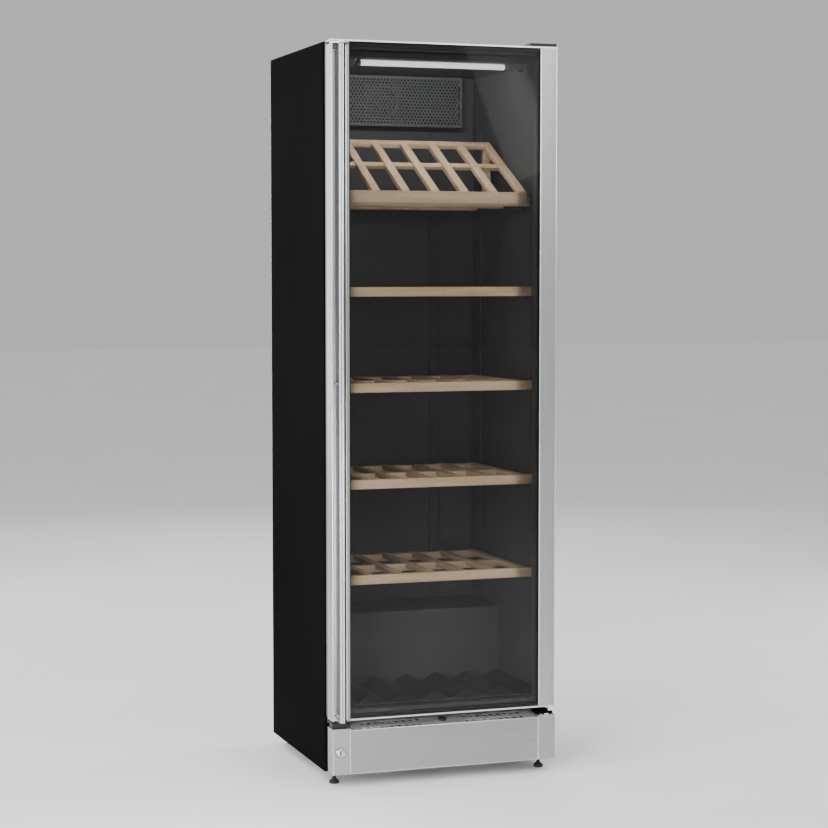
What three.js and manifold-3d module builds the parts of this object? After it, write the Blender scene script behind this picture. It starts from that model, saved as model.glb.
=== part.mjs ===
// A tall free-standing wine cooler: insulated steel cabinet, glazed aluminium-framed door hinged on
// the right, beech shelves, a lit interior and a compressor bay behind the foot of the back wall.
//
// Millimetres, +Z up, the front faces -Y. The origin is on the floor under the middle of the whole
// object. Inside the frame group, y is the depth behind the front plane of the door's stiles, so
// every size below that is called a depth is measured from that plane.

import * as THREE from 'three';
import { mergeVertices } from 'three/addons/utils/BufferGeometryUtils.js';
import Module from 'manifold-3d';

const wasm = await Module();
wasm.setup();

// ---------------------------------------------------------------- driving dimensions

const WIDTH = 595;
const HEIGHT = 1850;
const DEPTH = 595;
const GAP = 0.3; // kept between pieces that touch
const SHEET = 1.2; // steel sheet of the cabinet

const HANDLE_PROUD = 18; // how far the handle bar stands in front of the door
const CABINET_TOP = 1842;
const CABINET_FRONT = 70; // depth of the cabinet's front edge
const CABINET_BACK = 560;
const SIDE_BOTTOM = 28;

const LINER = 1.5; // wall of the plastic liner
const LINER_HALF = 266; // half the width inside the liner
const LINER_BACK = 520;
const CEILING = 1806;
const FLOOR = 192;
const STEP_FRONT = 316; // the step over the compressor bay
const STEP_TOP = 383;

const DOOR_BOTTOM = 168;
const DOOR_DEPTH = 42;
const SILL_BOTTOM = 152; // lower edge of the cabinet's face, behind the plinth's top edge
const DOOR_STRIP = 4; // bright strips above and below the glass
const STILE = 46; // width of a stile's face
const PROFILE = 1.8; // wall of the aluminium profiles
const REBATE = 8.5; // how far a stile's front flange laps over the glass
const FLANGE = 2.7;
const GROOVE = 12; // finger groove between the stile's lip and the bar
const LIP = 3;
const BAR = 13;
const PANE = 4;
const PANE_GAP = 12;
const FRAME_BACK = 55; // back of the door's inner frame
const GASKET_BACK = 67.2;

const PLINTH_BOTTOM = 33;
const PLINTH_CAP_TOP = 148;
const PLINTH_PANEL_TOP = 142;
const GRILLE_SLOPE = THREE.MathUtils.degToRad(14);
const GRILLE_LENGTH = 62;

const HINGE_INSET = 11; // of the hinge axis, from the cabinet's side
const HINGE_DEPTH = 12;
const PIN_R = 4;

const SHELF_TOPS = [1470, 1241, 1001, 759, 518];
const SHELF_BAR = 24; // height of a shelf's front bar
const SHELF_HALF = 262.5;
const SHELF_FRONT = 74;
const SHELF_BACK = 500;
const DISPLAY_TILT = THREE.MathUtils.degToRad(28);

const LOCK_X = -277;
const LOCK_Z = 88.5;

const HALF = WIDTH / 2;
const GLASS_HALF = HALF - STILE + REBATE - GAP;
const DOOR_TOP = CABINET_TOP;
const GLASS_BOTTOM = DOOR_BOTTOM + DOOR_STRIP + GAP;
const GLASS_TOP = DOOR_TOP - DOOR_STRIP - GAP;
const BAY_WALL = 350; // depth of the compressor bay's front wall
const BAY_ROOF = 345;
const BASE_TOP = 150;
const HINGE_X = HALF - HINGE_INSET;

// ---------------------------------------------------------------- materials

const finish = (color, roughness, metalness) =>
  new THREE.MeshStandardMaterial({ color, roughness, metalness });

const blackSteel = finish(0x17181a, 0.4, 0.3);
const darkLiner = finish(0x303134, 0.55, 0);
const blackPlastic = finish(0x101112, 0.5, 0);
const aluminium = finish(0xb9bcbf, 0.34, 0.9);
const brightSteel = finish(0xc4c6c8, 0.3, 0.9);
const smokedGlass = finish(0x26282a, 0.06, 0);
const clearGlass = finish(0x9fa4a6, 0.06, 0);
const beech = finish(0xc39a6b, 0.6, 0);
const lampWhite = finish(0xf6f8ff, 0.3, 0);
const whitePlastic = finish(0xd9dadb, 0.45, 0);
const chrome = finish(0xdadcde, 0.12, 1);
const zincSteel = finish(0x8c8f92, 0.45, 0.8);
const foamYellow = finish(0xd8c690, 0.9, 0);
const rubber = finish(0x0c0c0d, 0.8, 0);

// ---------------------------------------------------------------- solids

function solid(geometry) {
  const plain = geometry.index ? geometry.clone() : geometry;
  plain.deleteAttribute('normal');
  plain.deleteAttribute('uv');
  const merged = mergeVertices(plain, 1e-4);
  return new wasm.Manifold(new wasm.Mesh({
    numProp: 3,
    vertProperties: merged.attributes.position.array,
    triVerts: new Uint32Array(merged.index.array),
  }));
}

function geometryOf(body) {
  const mesh = body.getMesh();
  const geometry = new THREE.BufferGeometry();
  geometry.setAttribute('position', new THREE.BufferAttribute(mesh.vertProperties, 3));
  geometry.setIndex(new THREE.BufferAttribute(mesh.triVerts, 1));
  geometry.computeVertexNormals();
  return geometry;
}

// A block between two corners, as x, depth and z ranges.
function block([x0, x1], [y0, y1], [z0, z1]) {
  const geometry = new THREE.BoxGeometry(x1 - x0, y1 - y0, z1 - z0);
  geometry.translate((x0 + x1) / 2, (y0 + y1) / 2, (z0 + z1) / 2);
  return solid(geometry);
}

function outline(points) {
  return new THREE.Shape(points.map(([a, b]) => new THREE.Vector2(a, b)));
}

function extrude(shape, length, curveSegments = 8) {
  return new THREE.ExtrudeGeometry(shape, { depth: length, bevelEnabled: false, curveSegments });
}

// An outline in (x, depth), drawn up from z0 to z1.
function upright(shape, z0, z1) {
  const geometry = extrude(shape, z1 - z0);
  geometry.translate(0, 0, z0);
  return solid(geometry);
}

// An outline in (depth, z), drawn across from x0 to x1.
function across(shape, x0, x1) {
  const geometry = extrude(shape, x1 - x0);
  geometry.applyMatrix4(new THREE.Matrix4().makeBasis(
    new THREE.Vector3(0, 1, 0),
    new THREE.Vector3(0, 0, 1),
    new THREE.Vector3(1, 0, 0),
  ));
  geometry.translate(x0, 0, 0);
  return solid(geometry);
}

// An outline in (x, z), drawn back from depth y0 to y1.
function backwards(shape, y0, y1) {
  const geometry = extrude(shape, y1 - y0);
  geometry.rotateX(Math.PI / 2);
  geometry.translate(0, y1, 0);
  return solid(geometry);
}

// A round bar along an axis, from a start point.
function rod(axis, radius, length, [x, y, z], sides = 20) {
  const geometry = new THREE.CylinderGeometry(radius, radius, length, sides);
  geometry.translate(0, length / 2, 0);
  if (axis === 'x') geometry.rotateZ(-Math.PI / 2);
  if (axis === 'z') geometry.rotateX(Math.PI / 2);
  geometry.translate(x, y, z);
  return solid(geometry);
}

function join(...bodies) {
  return bodies.reduce((sum, body) => sum.add(body));
}

function cut(body, ...tools) {
  return tools.reduce((rest, tool) => rest.subtract(tool), body);
}

// A flat rectangular ring in the x-z plane.
function ring([x, z0, z1], [innerX, innerZ0, innerZ1], depths) {
  const shape = outline([[-x, z0], [x, z0], [x, z1], [-x, z1]]);
  shape.holes.push(outline([
    [-innerX, innerZ0], [-innerX, innerZ1], [innerX, innerZ1], [innerX, innerZ0],
  ]));
  return backwards(shape, ...depths);
}

const cooler = new THREE.Group();
const frame = new THREE.Group();
frame.position.y = HANDLE_PROUD - DEPTH / 2;
cooler.add(frame);

function piece(name, body, material, parent = frame) {
  const mesh = new THREE.Mesh(geometryOf(body), material);
  mesh.name = name;
  parent.add(mesh);
  return mesh;
}

// ---------------------------------------------------------------- cabinet shell

const FOLD = 14; // width of the folds along the side panels' edges
const FOOT = { x: 276, depth: 60, r: 12.5, stemR: 5 };

// Each side is one sheet with its front and back edges folded in.
function sidePanel(side) {
  const back = CABINET_BACK - SHEET - GAP;
  const points = [
    [0, CABINET_FRONT], [FOLD, CABINET_FRONT], [FOLD, CABINET_FRONT + SHEET],
    [SHEET, CABINET_FRONT + SHEET], [SHEET, back - SHEET], [FOLD, back - SHEET],
    [FOLD, back], [0, back],
  ];
  const shape = outline(points.map(([inward, y]) => [side * (HALF - inward), y]));
  return upright(shape, SIDE_BOTTOM, CABINET_TOP);
}

piece('side_panel_left', sidePanel(-1), blackSteel);
piece('side_panel_right', sidePanel(1), blackSteel);
piece('top_panel', block(
  [-HALF + SHEET + GAP, HALF - SHEET - GAP],
  [CABINET_FRONT + SHEET + GAP, CABINET_BACK - 2 * SHEET - 2 * GAP],
  [CABINET_TOP - SHEET, CABINET_TOP],
), blackSteel);
piece('back_panel', block(
  [-HALF, HALF],
  [CABINET_BACK - SHEET, CABINET_BACK],
  [BAY_ROOF + 5, CABINET_TOP],
), zincSteel);

// One bent sheet under the cabinet: a toe for the feet, an open riser, the floor, the front wall
// of the compressor bay and its roof.
function basePan() {
  const toe = [45, 35];
  const shape = outline([
    toe, [CABINET_FRONT + 3, toe[1]], [CABINET_FRONT + 3, BASE_TOP - SHEET],
    [BAY_WALL + SHEET, BASE_TOP - SHEET], [BAY_WALL + SHEET, BAY_ROOF - SHEET],
    [CABINET_BACK - 4, BAY_ROOF - SHEET], [CABINET_BACK - 4, BAY_ROOF],
    [BAY_WALL, BAY_ROOF], [BAY_WALL, BASE_TOP],
    [CABINET_FRONT + 3 - SHEET, BASE_TOP], [CABINET_FRONT + 3 - SHEET, toe[1] + SHEET],
    [toe[0], toe[1] + SHEET],
  ]);
  const half = HALF - 2;
  let pan = across(shape, -half, half);
  const window = { half: 72, pitch: 176, low: 55, high: 132 };
  for (const step of [-1, 0, 1]) {
    const x = step * window.pitch;
    pan = cut(pan, block(
      [x - window.half, x + window.half],
      [CABINET_FRONT - 2, CABINET_FRONT + 8],
      [window.low, window.high],
    ));
  }
  for (const side of [-1, 1]) {
    const notch = side > 0 ? [HALF - FOLD - GAP, HALF] : [-HALF, FOLD + GAP - HALF];
    pan = cut(
      pan,
      rod('z', FOOT.stemR + 0.4, 12, [side * FOOT.x, FOOT.depth, 30]),
      block(notch, [toe[0] - 1, CABINET_FRONT + SHEET + GAP], [30, 40]),
    );
  }
  return pan;
}

piece('base_pan', basePan(), blackSteel);

// Foam fills the walls between the sheets and the liner; the bay at the back stays open.
function insulation() {
  const inner = LINER_HALF + LINER + GAP;
  const outer = HALF - SHEET - GAP;
  const front = CABINET_FRONT + 3 + GAP;
  const whole = block(
    [-outer, outer], [front, CABINET_BACK - 2 * SHEET - 2 * GAP],
    [BASE_TOP + GAP, CABINET_TOP - SHEET - GAP],
  );
  const evaporatorRoom = 4;
  return cut(
    whole,
    block(
      [-inner, inner], [0, STEP_FRONT + LINER + GAP], [FLOOR - LINER - GAP, CEILING + LINER + GAP],
    ),
    block(
      [-inner, inner], [0, LINER_BACK + LINER + evaporatorRoom],
      [STEP_TOP - LINER - GAP, CEILING + LINER + GAP],
    ),
    block([-HALF, HALF], [BAY_WALL - GAP, CABINET_BACK], [0, BAY_ROOF + GAP]),
  );
}

piece('insulation_foam', insulation(), foamYellow);

// ---------------------------------------------------------------- liner

// The side liners carry moulded ledges for the shelves and a channel near the back corner.
function sideLiner(side) {
  const wall = [LINER_HALF, LINER_HALF + LINER];
  const spans = [[wall, [CABINET_FRONT + GAP, LINER_BACK + LINER], [FLOOR - LINER, CEILING + LINER]]];
  for (const top of SHELF_TOPS) {
    const under = top - SHELF_BAR - GAP;
    spans.push([[LINER_HALF - 10, LINER_HALF + 1], [130, 440], [under - 8, under]]);
  }
  spans.push([[LINER_HALF - 3, LINER_HALF + 1], [455, 490], [STEP_TOP + 12, CEILING - 150]]);
  const blocks = spans.map(([x, y, z]) => {
    const range = side > 0 ? x : [-x[1], -x[0]];
    return block(range, y, z);
  });
  const underStep = block(
    [-HALF, HALF], [STEP_FRONT + LINER, CABINET_BACK], [0, STEP_TOP - LINER],
  );
  return cut(join(...blocks), underStep);
}

piece('liner_left', sideLiner(-1), darkLiner);
piece('liner_right', sideLiner(1), darkLiner);

const betweenSides = [-LINER_HALF + GAP, LINER_HALF - GAP];
piece('liner_back', block(
  betweenSides, [LINER_BACK, LINER_BACK + LINER], [STEP_TOP + GAP, CEILING + LINER],
), darkLiner);
piece('liner_ceiling', block(
  betweenSides, [CABINET_FRONT + GAP, LINER_BACK - GAP], [CEILING, CEILING + LINER],
), darkLiner);
piece('liner_floor', block(
  betweenSides, [CABINET_FRONT + GAP, STEP_FRONT - GAP], [FLOOR - LINER, FLOOR],
), darkLiner);
piece('liner_step', across(outline([
  [STEP_FRONT, FLOOR - LINER], [STEP_FRONT + LINER, FLOOR - LINER],
  [STEP_FRONT + LINER, STEP_TOP - LINER], [LINER_BACK + LINER, STEP_TOP - LINER],
  [LINER_BACK + LINER, STEP_TOP], [STEP_FRONT, STEP_TOP],
]), ...betweenSides), darkLiner);

// The frame that the door's gasket closes against.
piece('front_frame', ring(
  [HALF - 7, SILL_BOTTOM, CABINET_TOP - 4],
  [LINER_HALF + LINER, FLOOR - LINER, CEILING + LINER],
  [CABINET_FRONT - 2.4, CABINET_FRONT - GAP],
), darkLiner);

// ---------------------------------------------------------------- inside the cabinet

// A shallow tray over the fan, with slots in its face and an open back.
function ductCover() {
  const half = 221;
  const [low, high] = [1670, 1804];
  const [front, back] = [485, LINER_BACK - GAP];
  const wall = 1.5;
  let cover = cut(
    block([-half, half], [front, back], [low, high]),
    block([-half + wall, half - wall], [front + wall, back + 1], [low + wall, high - wall]),
  );
  const slot = { half: 34, pitch: 84, height: 12 };
  for (const row of [0, 1]) {
    for (const column of [-2, -1, 0, 1, 2]) {
      const x = column * slot.pitch;
      const z = low + 40 + row * 54;
      cover = cut(cover, block(
        [x - slot.half, x + slot.half], [front - 1, front + wall + 1],
        [z - slot.height / 2, z + slot.height / 2],
      ));
    }
  }
  return cover;
}

piece('duct_cover', ductCover(), darkLiner);

const FAN = { z: 1737, half: 46, bore: 43.5, front: 491, back: 517, hubR: 16 };

function fanFrame() {
  const square = outline([
    [-FAN.half, FAN.z - FAN.half], [FAN.half, FAN.z - FAN.half],
    [FAN.half, FAN.z + FAN.half], [-FAN.half, FAN.z + FAN.half],
  ]);
  const housing = cut(
    backwards(square, FAN.front, FAN.back),
    rod('y', FAN.bore, 40, [0, FAN.front - 5, FAN.z], 32),
  );
  const motor = rod('y', FAN.hubR, 4, [0, FAN.back - 4, FAN.z], 20);
  const spider = [0, 1, 2].map((arm) => {
    const bar = new THREE.BoxGeometry(5, 3, FAN.half);
    bar.translate(0, FAN.back - 2, FAN.half / 2);
    bar.rotateY((arm * 2 * Math.PI) / 3);
    bar.translate(0, 0, FAN.z);
    return solid(bar);
  });
  return join(housing, motor, ...spider);
}

piece('fan_frame', fanFrame(), blackPlastic);

// The rotor is drawn about its own spin axis and set in place as a mesh.
function fanRotor() {
  const length = FAN.back - FAN.front - 8;
  const blade = { wide: 19, thick: 1.6, long: 28, pitch: THREE.MathUtils.degToRad(38) };
  const blades = [0, 1, 2, 3, 4, 5, 6].map((index) => {
    const geometry = new THREE.BoxGeometry(blade.wide, blade.thick, blade.long);
    geometry.rotateZ(blade.pitch);
    geometry.translate(0, length / 2, FAN.hubR + blade.long / 2 - 2.5);
    geometry.rotateY((index * 2 * Math.PI) / 7);
    return solid(geometry);
  });
  return join(rod('y', FAN.hubR, length, [0, 0, 0], 20), ...blades);
}

piece('fan_rotor', fanRotor(), blackPlastic).position.set(0, FAN.front + 2, FAN.z);

// The evaporator plate lies behind the back liner, with its channel bonded on.
function evaporator() {
  const front = LINER_BACK + LINER + GAP;
  const half = 190;
  const [low, high] = [700, 1600];
  const bars = [block([-half, half], [front, front + 1.5], [low, high])];
  const runs = 6;
  const margin = { side: 20, end: 50 };
  const channel = 5; // half the width of the bonded channel
  const raised = [front + 1, front + 3];
  const pitch = (high - low - 2 * margin.end) / (runs - 1);
  for (let run = 0; run < runs; run += 1) {
    const z = low + margin.end + run * pitch;
    const reach = half - margin.side;
    bars.push(block([-reach, reach], raised, [z - channel, z + channel]));
    if (run < runs - 1) {
      const x = (run % 2 ? -1 : 1) * (reach - channel);
      bars.push(block([x - channel, x + channel], raised, [z, z + pitch]));
    }
  }
  return join(...bars);
}

piece('evaporator', evaporator(), zincSteel);

// The lamp: a reflector on the ceiling with a socket at each end, the tube between them and a
// push button beside one socket.
const LAMP = { depth: 100, z: 1797, r: 7, half: 208 };
const SWITCH = { x: 236, r: 6, blockHalf: 12 };

function lampHousing() {
  const socket = { length: 14, half: 10, low: 1788 };
  const reflector = { half: 250, deep: 17, low: 1804.4 };
  const top = CEILING - GAP;
  const joint = reflector.low + 0.6; // the blocks below run this far into the reflector
  const end = LAMP.half + GAP;
  let housing = block(
    [-reflector.half, reflector.half],
    [LAMP.depth - reflector.deep, LAMP.depth + reflector.deep], [reflector.low, top],
  );
  for (const side of [-1, 1]) {
    const x = side > 0 ? [end, end + socket.length] : [-end - socket.length, -end];
    housing = join(housing, block(
      x, [LAMP.depth - socket.half, LAMP.depth + socket.half], [socket.low, joint],
    ));
  }
  const square = [
    [SWITCH.x - SWITCH.blockHalf, SWITCH.x + SWITCH.blockHalf],
    [LAMP.depth - SWITCH.blockHalf, LAMP.depth + SWITCH.blockHalf],
  ];
  const well = rod('z', SWITCH.r + 0.4, 20, [SWITCH.x, LAMP.depth, reflector.low - 20]);
  const switchBlock = cut(block(...square, [1791, joint]), well);
  return join(housing, switchBlock);
}

piece('lamp_housing', lampHousing(), whitePlastic);
piece('lamp_tube', rod('x', LAMP.r, 2 * LAMP.half, [-LAMP.half, LAMP.depth, LAMP.z], 16), lampWhite);
piece('light_switch', rod('z', SWITCH.r, 12, [SWITCH.x, LAMP.depth, 1787], 16), blackPlastic);

// Upright channels on the back wall.
function backRail(side) {
  const x = side * 152;
  const [half, web, deep] = [14.5, 1.5, 6];
  const back = LINER_BACK - GAP;
  return upright(outline([
    [x - half, back], [x - half, back - deep], [x + half, back - deep], [x + half, back],
    [x + half - web, back], [x + half - web, back - deep + web],
    [x - half + web, back - deep + web], [x - half + web, back],
  ]), STEP_TOP + 12, 1655);
}

piece('back_rail_left', backRail(-1), darkLiner);
piece('back_rail_right', backRail(1), darkLiner);

// A shelf: a front bar, a back bar and laths that run front to back between the bottles.
function shelf(top, front) {
  const bar = 18;
  const lath = { count: 7, width: 22, height: 12 };
  const lathTop = top - 3;
  const bars = [
    block([-SHELF_HALF, SHELF_HALF], [front, front + bar], [top - SHELF_BAR, top]),
    block([-SHELF_HALF, SHELF_HALF], [SHELF_BACK - 22, SHELF_BACK], [top - SHELF_BAR, lathTop - 2]),
    block([-SHELF_HALF, SHELF_HALF], [280, 302], [top - SHELF_BAR, lathTop - 2]),
  ];
  const reach = SHELF_HALF - lath.width / 2;
  for (let index = 0; index < lath.count; index += 1) {
    const x = -reach + (index * 2 * reach) / (lath.count - 1);
    bars.push(block(
      [x - lath.width / 2, x + lath.width / 2], [front + bar - 1, SHELF_BACK],
      [lathTop - lath.height, lathTop],
    ));
  }
  return join(...bars);
}

// The top shelf sits further back, behind the display rack's front bar.
SHELF_TOPS.forEach((top, index) => {
  const front = index === 0 ? SHELF_FRONT + 18 : SHELF_FRONT;
  piece(`shelf_${index + 1}`, shelf(top, front), beech);
});

// The display rack stands on the top shelf and tips its bottles forward: an upright front bar,
// sloping laths with two cross bars, and a pair of legs.
function displayRack() {
  const half = 246;
  const length = 300;
  const thick = 14;
  const shelfTop = SHELF_TOPS[0];
  const hinge = [SHELF_FRONT + 12, shelfTop + 0.5];
  const slope = [
    block([-half, half], [length - 22, length], [0, thick]),
    block([-half, half], [length / 2, length / 2 + 22], [0, thick - 4]),
  ];
  const laths = 7;
  const reach = half - 11;
  for (let index = 0; index < laths; index += 1) {
    const x = -reach + (index * 2 * reach) / (laths - 1);
    slope.push(block([x - 11, x + 11], [0, length], [0, thick]));
  }
  const tilted = join(...slope)
    .rotate([THREE.MathUtils.radToDeg(DISPLAY_TILT), 0, 0])
    .translate([0, ...hinge]);
  const bar = block([-half, half], [SHELF_FRONT, SHELF_FRONT + 14], [shelfTop - 20, shelfTop + 11]);
  const legFront = 242;
  const legHeight = (legFront + 20) * Math.tan(DISPLAY_TILT) + 2;
  const legs = [-1, 1].map((side) => block(
    [side * reach - 9, side * reach + 9],
    [hinge[0] + legFront, hinge[0] + legFront + 20],
    [shelfTop - 2, hinge[1] + legHeight],
  ));
  return join(tilted, bar, ...legs);
}

piece('display_rack', displayRack(), beech);

// The tray on the floor: one corrugated sheet, a hollow for each bottle.
function bottleTray() {
  const hollows = 6;
  const pitch = 86;
  const wave = 9;
  const wall = 2.5;
  const steps = 8;
  const half = (hollows * pitch) / 2;
  const height = (x) => wave * (1 + Math.cos((2 * Math.PI * (x + half)) / pitch));
  const top = [];
  const bottom = [];
  for (let step = 0; step <= hollows * steps; step += 1) {
    const x = -half + (step * pitch) / steps;
    top.push([x, FLOOR + GAP + wall + height(x)]);
    bottom.unshift([x, FLOOR + GAP + height(x)]);
  }
  return backwards(outline([...bottom.reverse(), ...top.reverse()]), SHELF_FRONT, STEP_FRONT - 3);
}

piece('bottle_tray', bottleTray(), blackPlastic);

// ---------------------------------------------------------------- cooling plant

const PLATE = { z: 38, front: 358, back: 556, half: 281 };
const ROLLER = { x: 264, depth: 534, r: 15, width: 18, axleR: 3 };

// The plate the compressor stands on, with its sides folded up and a fork for each roller.
function compressorPlate() {
  const sheet = 2;
  const parts = [
    block([-PLATE.half, PLATE.half], [PLATE.front, PLATE.back], [PLATE.z, PLATE.z + sheet]),
    block([-PLATE.half, PLATE.half], [PLATE.front, PLATE.front + sheet], [PLATE.z, PLATE.z + 18]),
  ];
  for (const side of [-1, 1]) {
    const edge = side * (PLATE.half - sheet / 2);
    parts.push(block(
      [edge - sheet / 2, edge + sheet / 2], [PLATE.front, PLATE.back], [PLATE.z, PLATE.z + 22],
    ));
    const axle = rod('x', ROLLER.axleR, ROLLER.width + 8, [
      side * ROLLER.x - ROLLER.width / 2 - 4, ROLLER.depth, ROLLER.r,
    ], 12);
    parts.push(axle);
    for (const cheek of [-1, 1]) {
      const x = side * ROLLER.x + cheek * (ROLLER.width / 2 + 2);
      parts.push(block(
        [x - 1.2, x + 1.2], [ROLLER.depth - 9, ROLLER.depth + 9], [ROLLER.r - 7, PLATE.z + 1],
      ));
    }
  }
  return join(...parts);
}

piece('compressor_plate', compressorPlate(), zincSteel);

function roller() {
  const [bore, crown] = [ROLLER.axleR + 0.4, 1.2];
  const half = ROLLER.width / 2;
  const profile = [
    [bore, -half], [ROLLER.r - crown, -half], [ROLLER.r, -half + crown],
    [ROLLER.r, half - crown], [ROLLER.r - crown, half], [bore, half], [bore, -half],
  ].map(([r, h]) => new THREE.Vector2(r, h));
  const geometry = new THREE.LatheGeometry(profile, 24);
  geometry.rotateZ(-Math.PI / 2);
  return solid(geometry);
}

for (const [name, side] of [['left', -1], ['right', 1]]) {
  piece(`roller_${name}`, roller(), whitePlastic)
    .position.set(side * ROLLER.x, ROLLER.depth, ROLLER.r);
}

const COMPRESSOR = { x: 70, depth: 446, r: 78, base: PLATE.z + 2 + GAP };

// The sealed compressor shell on its foot plate, with the relay box on its side.
function compressor() {
  const shell = new THREE.LatheGeometry([
    [0, 0], [52, 0], [70, 10], [COMPRESSOR.r, 30], [COMPRESSOR.r, 95],
    [72, 125], [55, 145], [28, 156], [0, 159],
  ].map(([r, h]) => new THREE.Vector2(r, h)), 24);
  shell.rotateX(Math.PI / 2);
  shell.translate(COMPRESSOR.x, COMPRESSOR.depth, COMPRESSOR.base + 14);
  const foot = (dx, dy) => rod('z', 9, 17, [
    COMPRESSOR.x + dx * 70, COMPRESSOR.depth + dy * 55, COMPRESSOR.base,
  ], 12);
  const footPlate = block(
    [COMPRESSOR.x - 85, COMPRESSOR.x + 85], [COMPRESSOR.depth - 68, COMPRESSOR.depth + 68],
    [COMPRESSOR.base + 14, COMPRESSOR.base + 18],
  );
  const relay = block(
    [COMPRESSOR.x - 118, COMPRESSOR.x - 60], [COMPRESSOR.depth - 26, COMPRESSOR.depth + 26],
    [COMPRESSOR.base + 48, COMPRESSOR.base + 112],
  );
  return join(solid(shell), footPlate, relay, foot(-1, -1), foot(-1, 1), foot(1, -1), foot(1, 1));
}

piece('compressor', compressor(), blackSteel);

// The pan that catches melt water stands on the compressor.
function dripPan() {
  const low = COMPRESSOR.base + 14 + 159 + GAP;
  const [x, y] = [COMPRESSOR.x, COMPRESSOR.depth];
  const wall = 2;
  return cut(
    block([x - 100, x + 100], [y - 70, y + 70], [low, low + 34]),
    block(
      [x - 100 + wall, x + 100 - wall], [y - 70 + wall, y + 70 - wall], [low + wall, low + 60],
    ),
  );
}

piece('drip_pan', dripPan(), whitePlastic);

// The condenser behind the cabinet: one serpentine tube held by upright straps.
const CONDENSER_DEPTH = 573;
const CONDENSER = { tube: 3, low: 430, high: 1640, half: 232, runs: 13 };

function condenserCoil() {
  const { tube, low, high, half, runs } = CONDENSER;
  const pitch = (high - low) / (runs - 1);
  const strap = { half: 5, front: CONDENSER_DEPTH + 2, back: CONDENSER_DEPTH + 4, over: 20 };
  const bodies = [];
  for (let run = 0; run < runs; run += 1) {
    bodies.push(rod('x', tube, 2 * half, [-half, CONDENSER_DEPTH, low + run * pitch], 6));
  }
  for (let run = 0; run < runs - 1; run += 1) {
    const side = run % 2 ? -1 : 1;
    bodies.push(returnBend(side, half - 0.5, low + (run + 0.5) * pitch, pitch / 2, tube));
  }
  for (const x of [-188, -63, 63, 188]) {
    bodies.push(block(
      [x - strap.half, x + strap.half], [strap.front, strap.back],
      [low - strap.over, high + strap.over],
    ));
  }
  for (const x of [-188, 188]) {
    for (const z of [low - 14, high + 14]) {
      bodies.push(block(
        [x - strap.half, x + strap.half], [CABINET_BACK + GAP, strap.back - 1],
        [z - strap.half, z + strap.half],
      ));
    }
  }
  return join(...bodies);
}

// A half-circle of round tube that joins two runs.
function returnBend(side, x, z, radius, tube) {
  const curve = new THREE.CatmullRomCurve3(
    [0, 1, 2, 3, 4].map((step) => {
      const angle = -Math.PI / 2 + (step * Math.PI) / 4;
      return new THREE.Vector3(
        x * side + side * radius * Math.cos(angle) * 0.9, CONDENSER_DEPTH, z + radius * Math.sin(angle),
      );
    }),
  );
  const section = new THREE.Shape();
  section.absarc(0, 0, tube, 0, 2 * Math.PI, false);
  const geometry = new THREE.ExtrudeGeometry(section, { steps: 5, curveSegments: 3, extrudePath: curve });
  return solid(geometry);
}

piece('condenser', condenserCoil(), blackSteel);

// The mains inlet faces backwards in the open bay, on the underside of the bay's roof.
function mainsInlet() {
  const [x, front, back] = [-180, 520, CABINET_BACK];
  const [low, high] = [300, BAY_ROOF - SHEET - GAP];
  const half = 27;
  const socket = { half: 12.5, deep: 16, low: low + 12, high: low + 30 };
  return cut(
    block([x - half, x + half], [front, back], [low, high]),
    block([x - socket.half, x + socket.half], [back - socket.deep, back + 1], [socket.low, socket.high]),
  );
}

piece('mains_inlet', mainsInlet(), blackPlastic);

// ---------------------------------------------------------------- plinth

// An end cap is a channel, open at the back; the left one is bored for the lock.
function plinthCap(side) {
  const wall = 1.5;
  const outer = side * HALF;
  const inner = side * (HALF - STILE);
  const inwards = -side * wall;
  const shape = outline([
    [outer, 0], [inner, 0], [inner, DOOR_DEPTH], [inner - inwards, DOOR_DEPTH],
    [inner - inwards, wall], [outer + inwards, wall], [outer + inwards, DOOR_DEPTH], [outer, DOOR_DEPTH],
  ]);
  return upright(shape, PLINTH_BOTTOM, PLINTH_CAP_TOP);
}

const lockBore = rod('y', 8.6, 10, [LOCK_X, -4, LOCK_Z], 24);
piece('plinth_cap_left', cut(plinthCap(-1), lockBore), aluminium);
piece('plinth_cap_right', plinthCap(1), aluminium);
piece('plinth_panel', across(outline([
  [0.6, PLINTH_PANEL_TOP], [0.6, PLINTH_BOTTOM], [20, PLINTH_BOTTOM],
  [20, PLINTH_BOTTOM + 1.5], [2.1, PLINTH_BOTTOM + 1.5], [2.1, PLINTH_PANEL_TOP],
]), -HALF + STILE + GAP, HALF - STILE - GAP), brightSteel);

// The grille slopes up towards the back; it is drawn flat and tipped about its front edge.
const KNOB = { y: 27, r: 11, bore: 4 };
const grilleGroup = new THREE.Group();
grilleGroup.position.set(0, 3.4, PLINTH_PANEL_TOP - 1);
grilleGroup.rotation.x = GRILLE_SLOPE;
frame.add(grilleGroup);

function ventGrille() {
  const half = HALF - STILE - GAP;
  const hole = { r: 4.4, pitch: 18.5, first: 62.5, perSide: 9, rows: [12, 37] };
  let grille = block([-half, half], [0, GRILLE_LENGTH], [-2, 0]);
  const drills = [];
  for (const y of hole.rows) {
    for (const side of [-1, 1]) {
      for (let index = 0; index < hole.perSide; index += 1) {
        const x = side * (hole.first + index * hole.pitch);
        drills.push(rod('z', hole.r, 6, [x, y, -4], 8));
      }
    }
  }
  grille = cut(grille, ...drills, rod('z', KNOB.bore, 6, [0, KNOB.y, -4], 16));
  return grille;
}

piece('vent_grille', ventGrille(), aluminium, grilleGroup);

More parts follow.
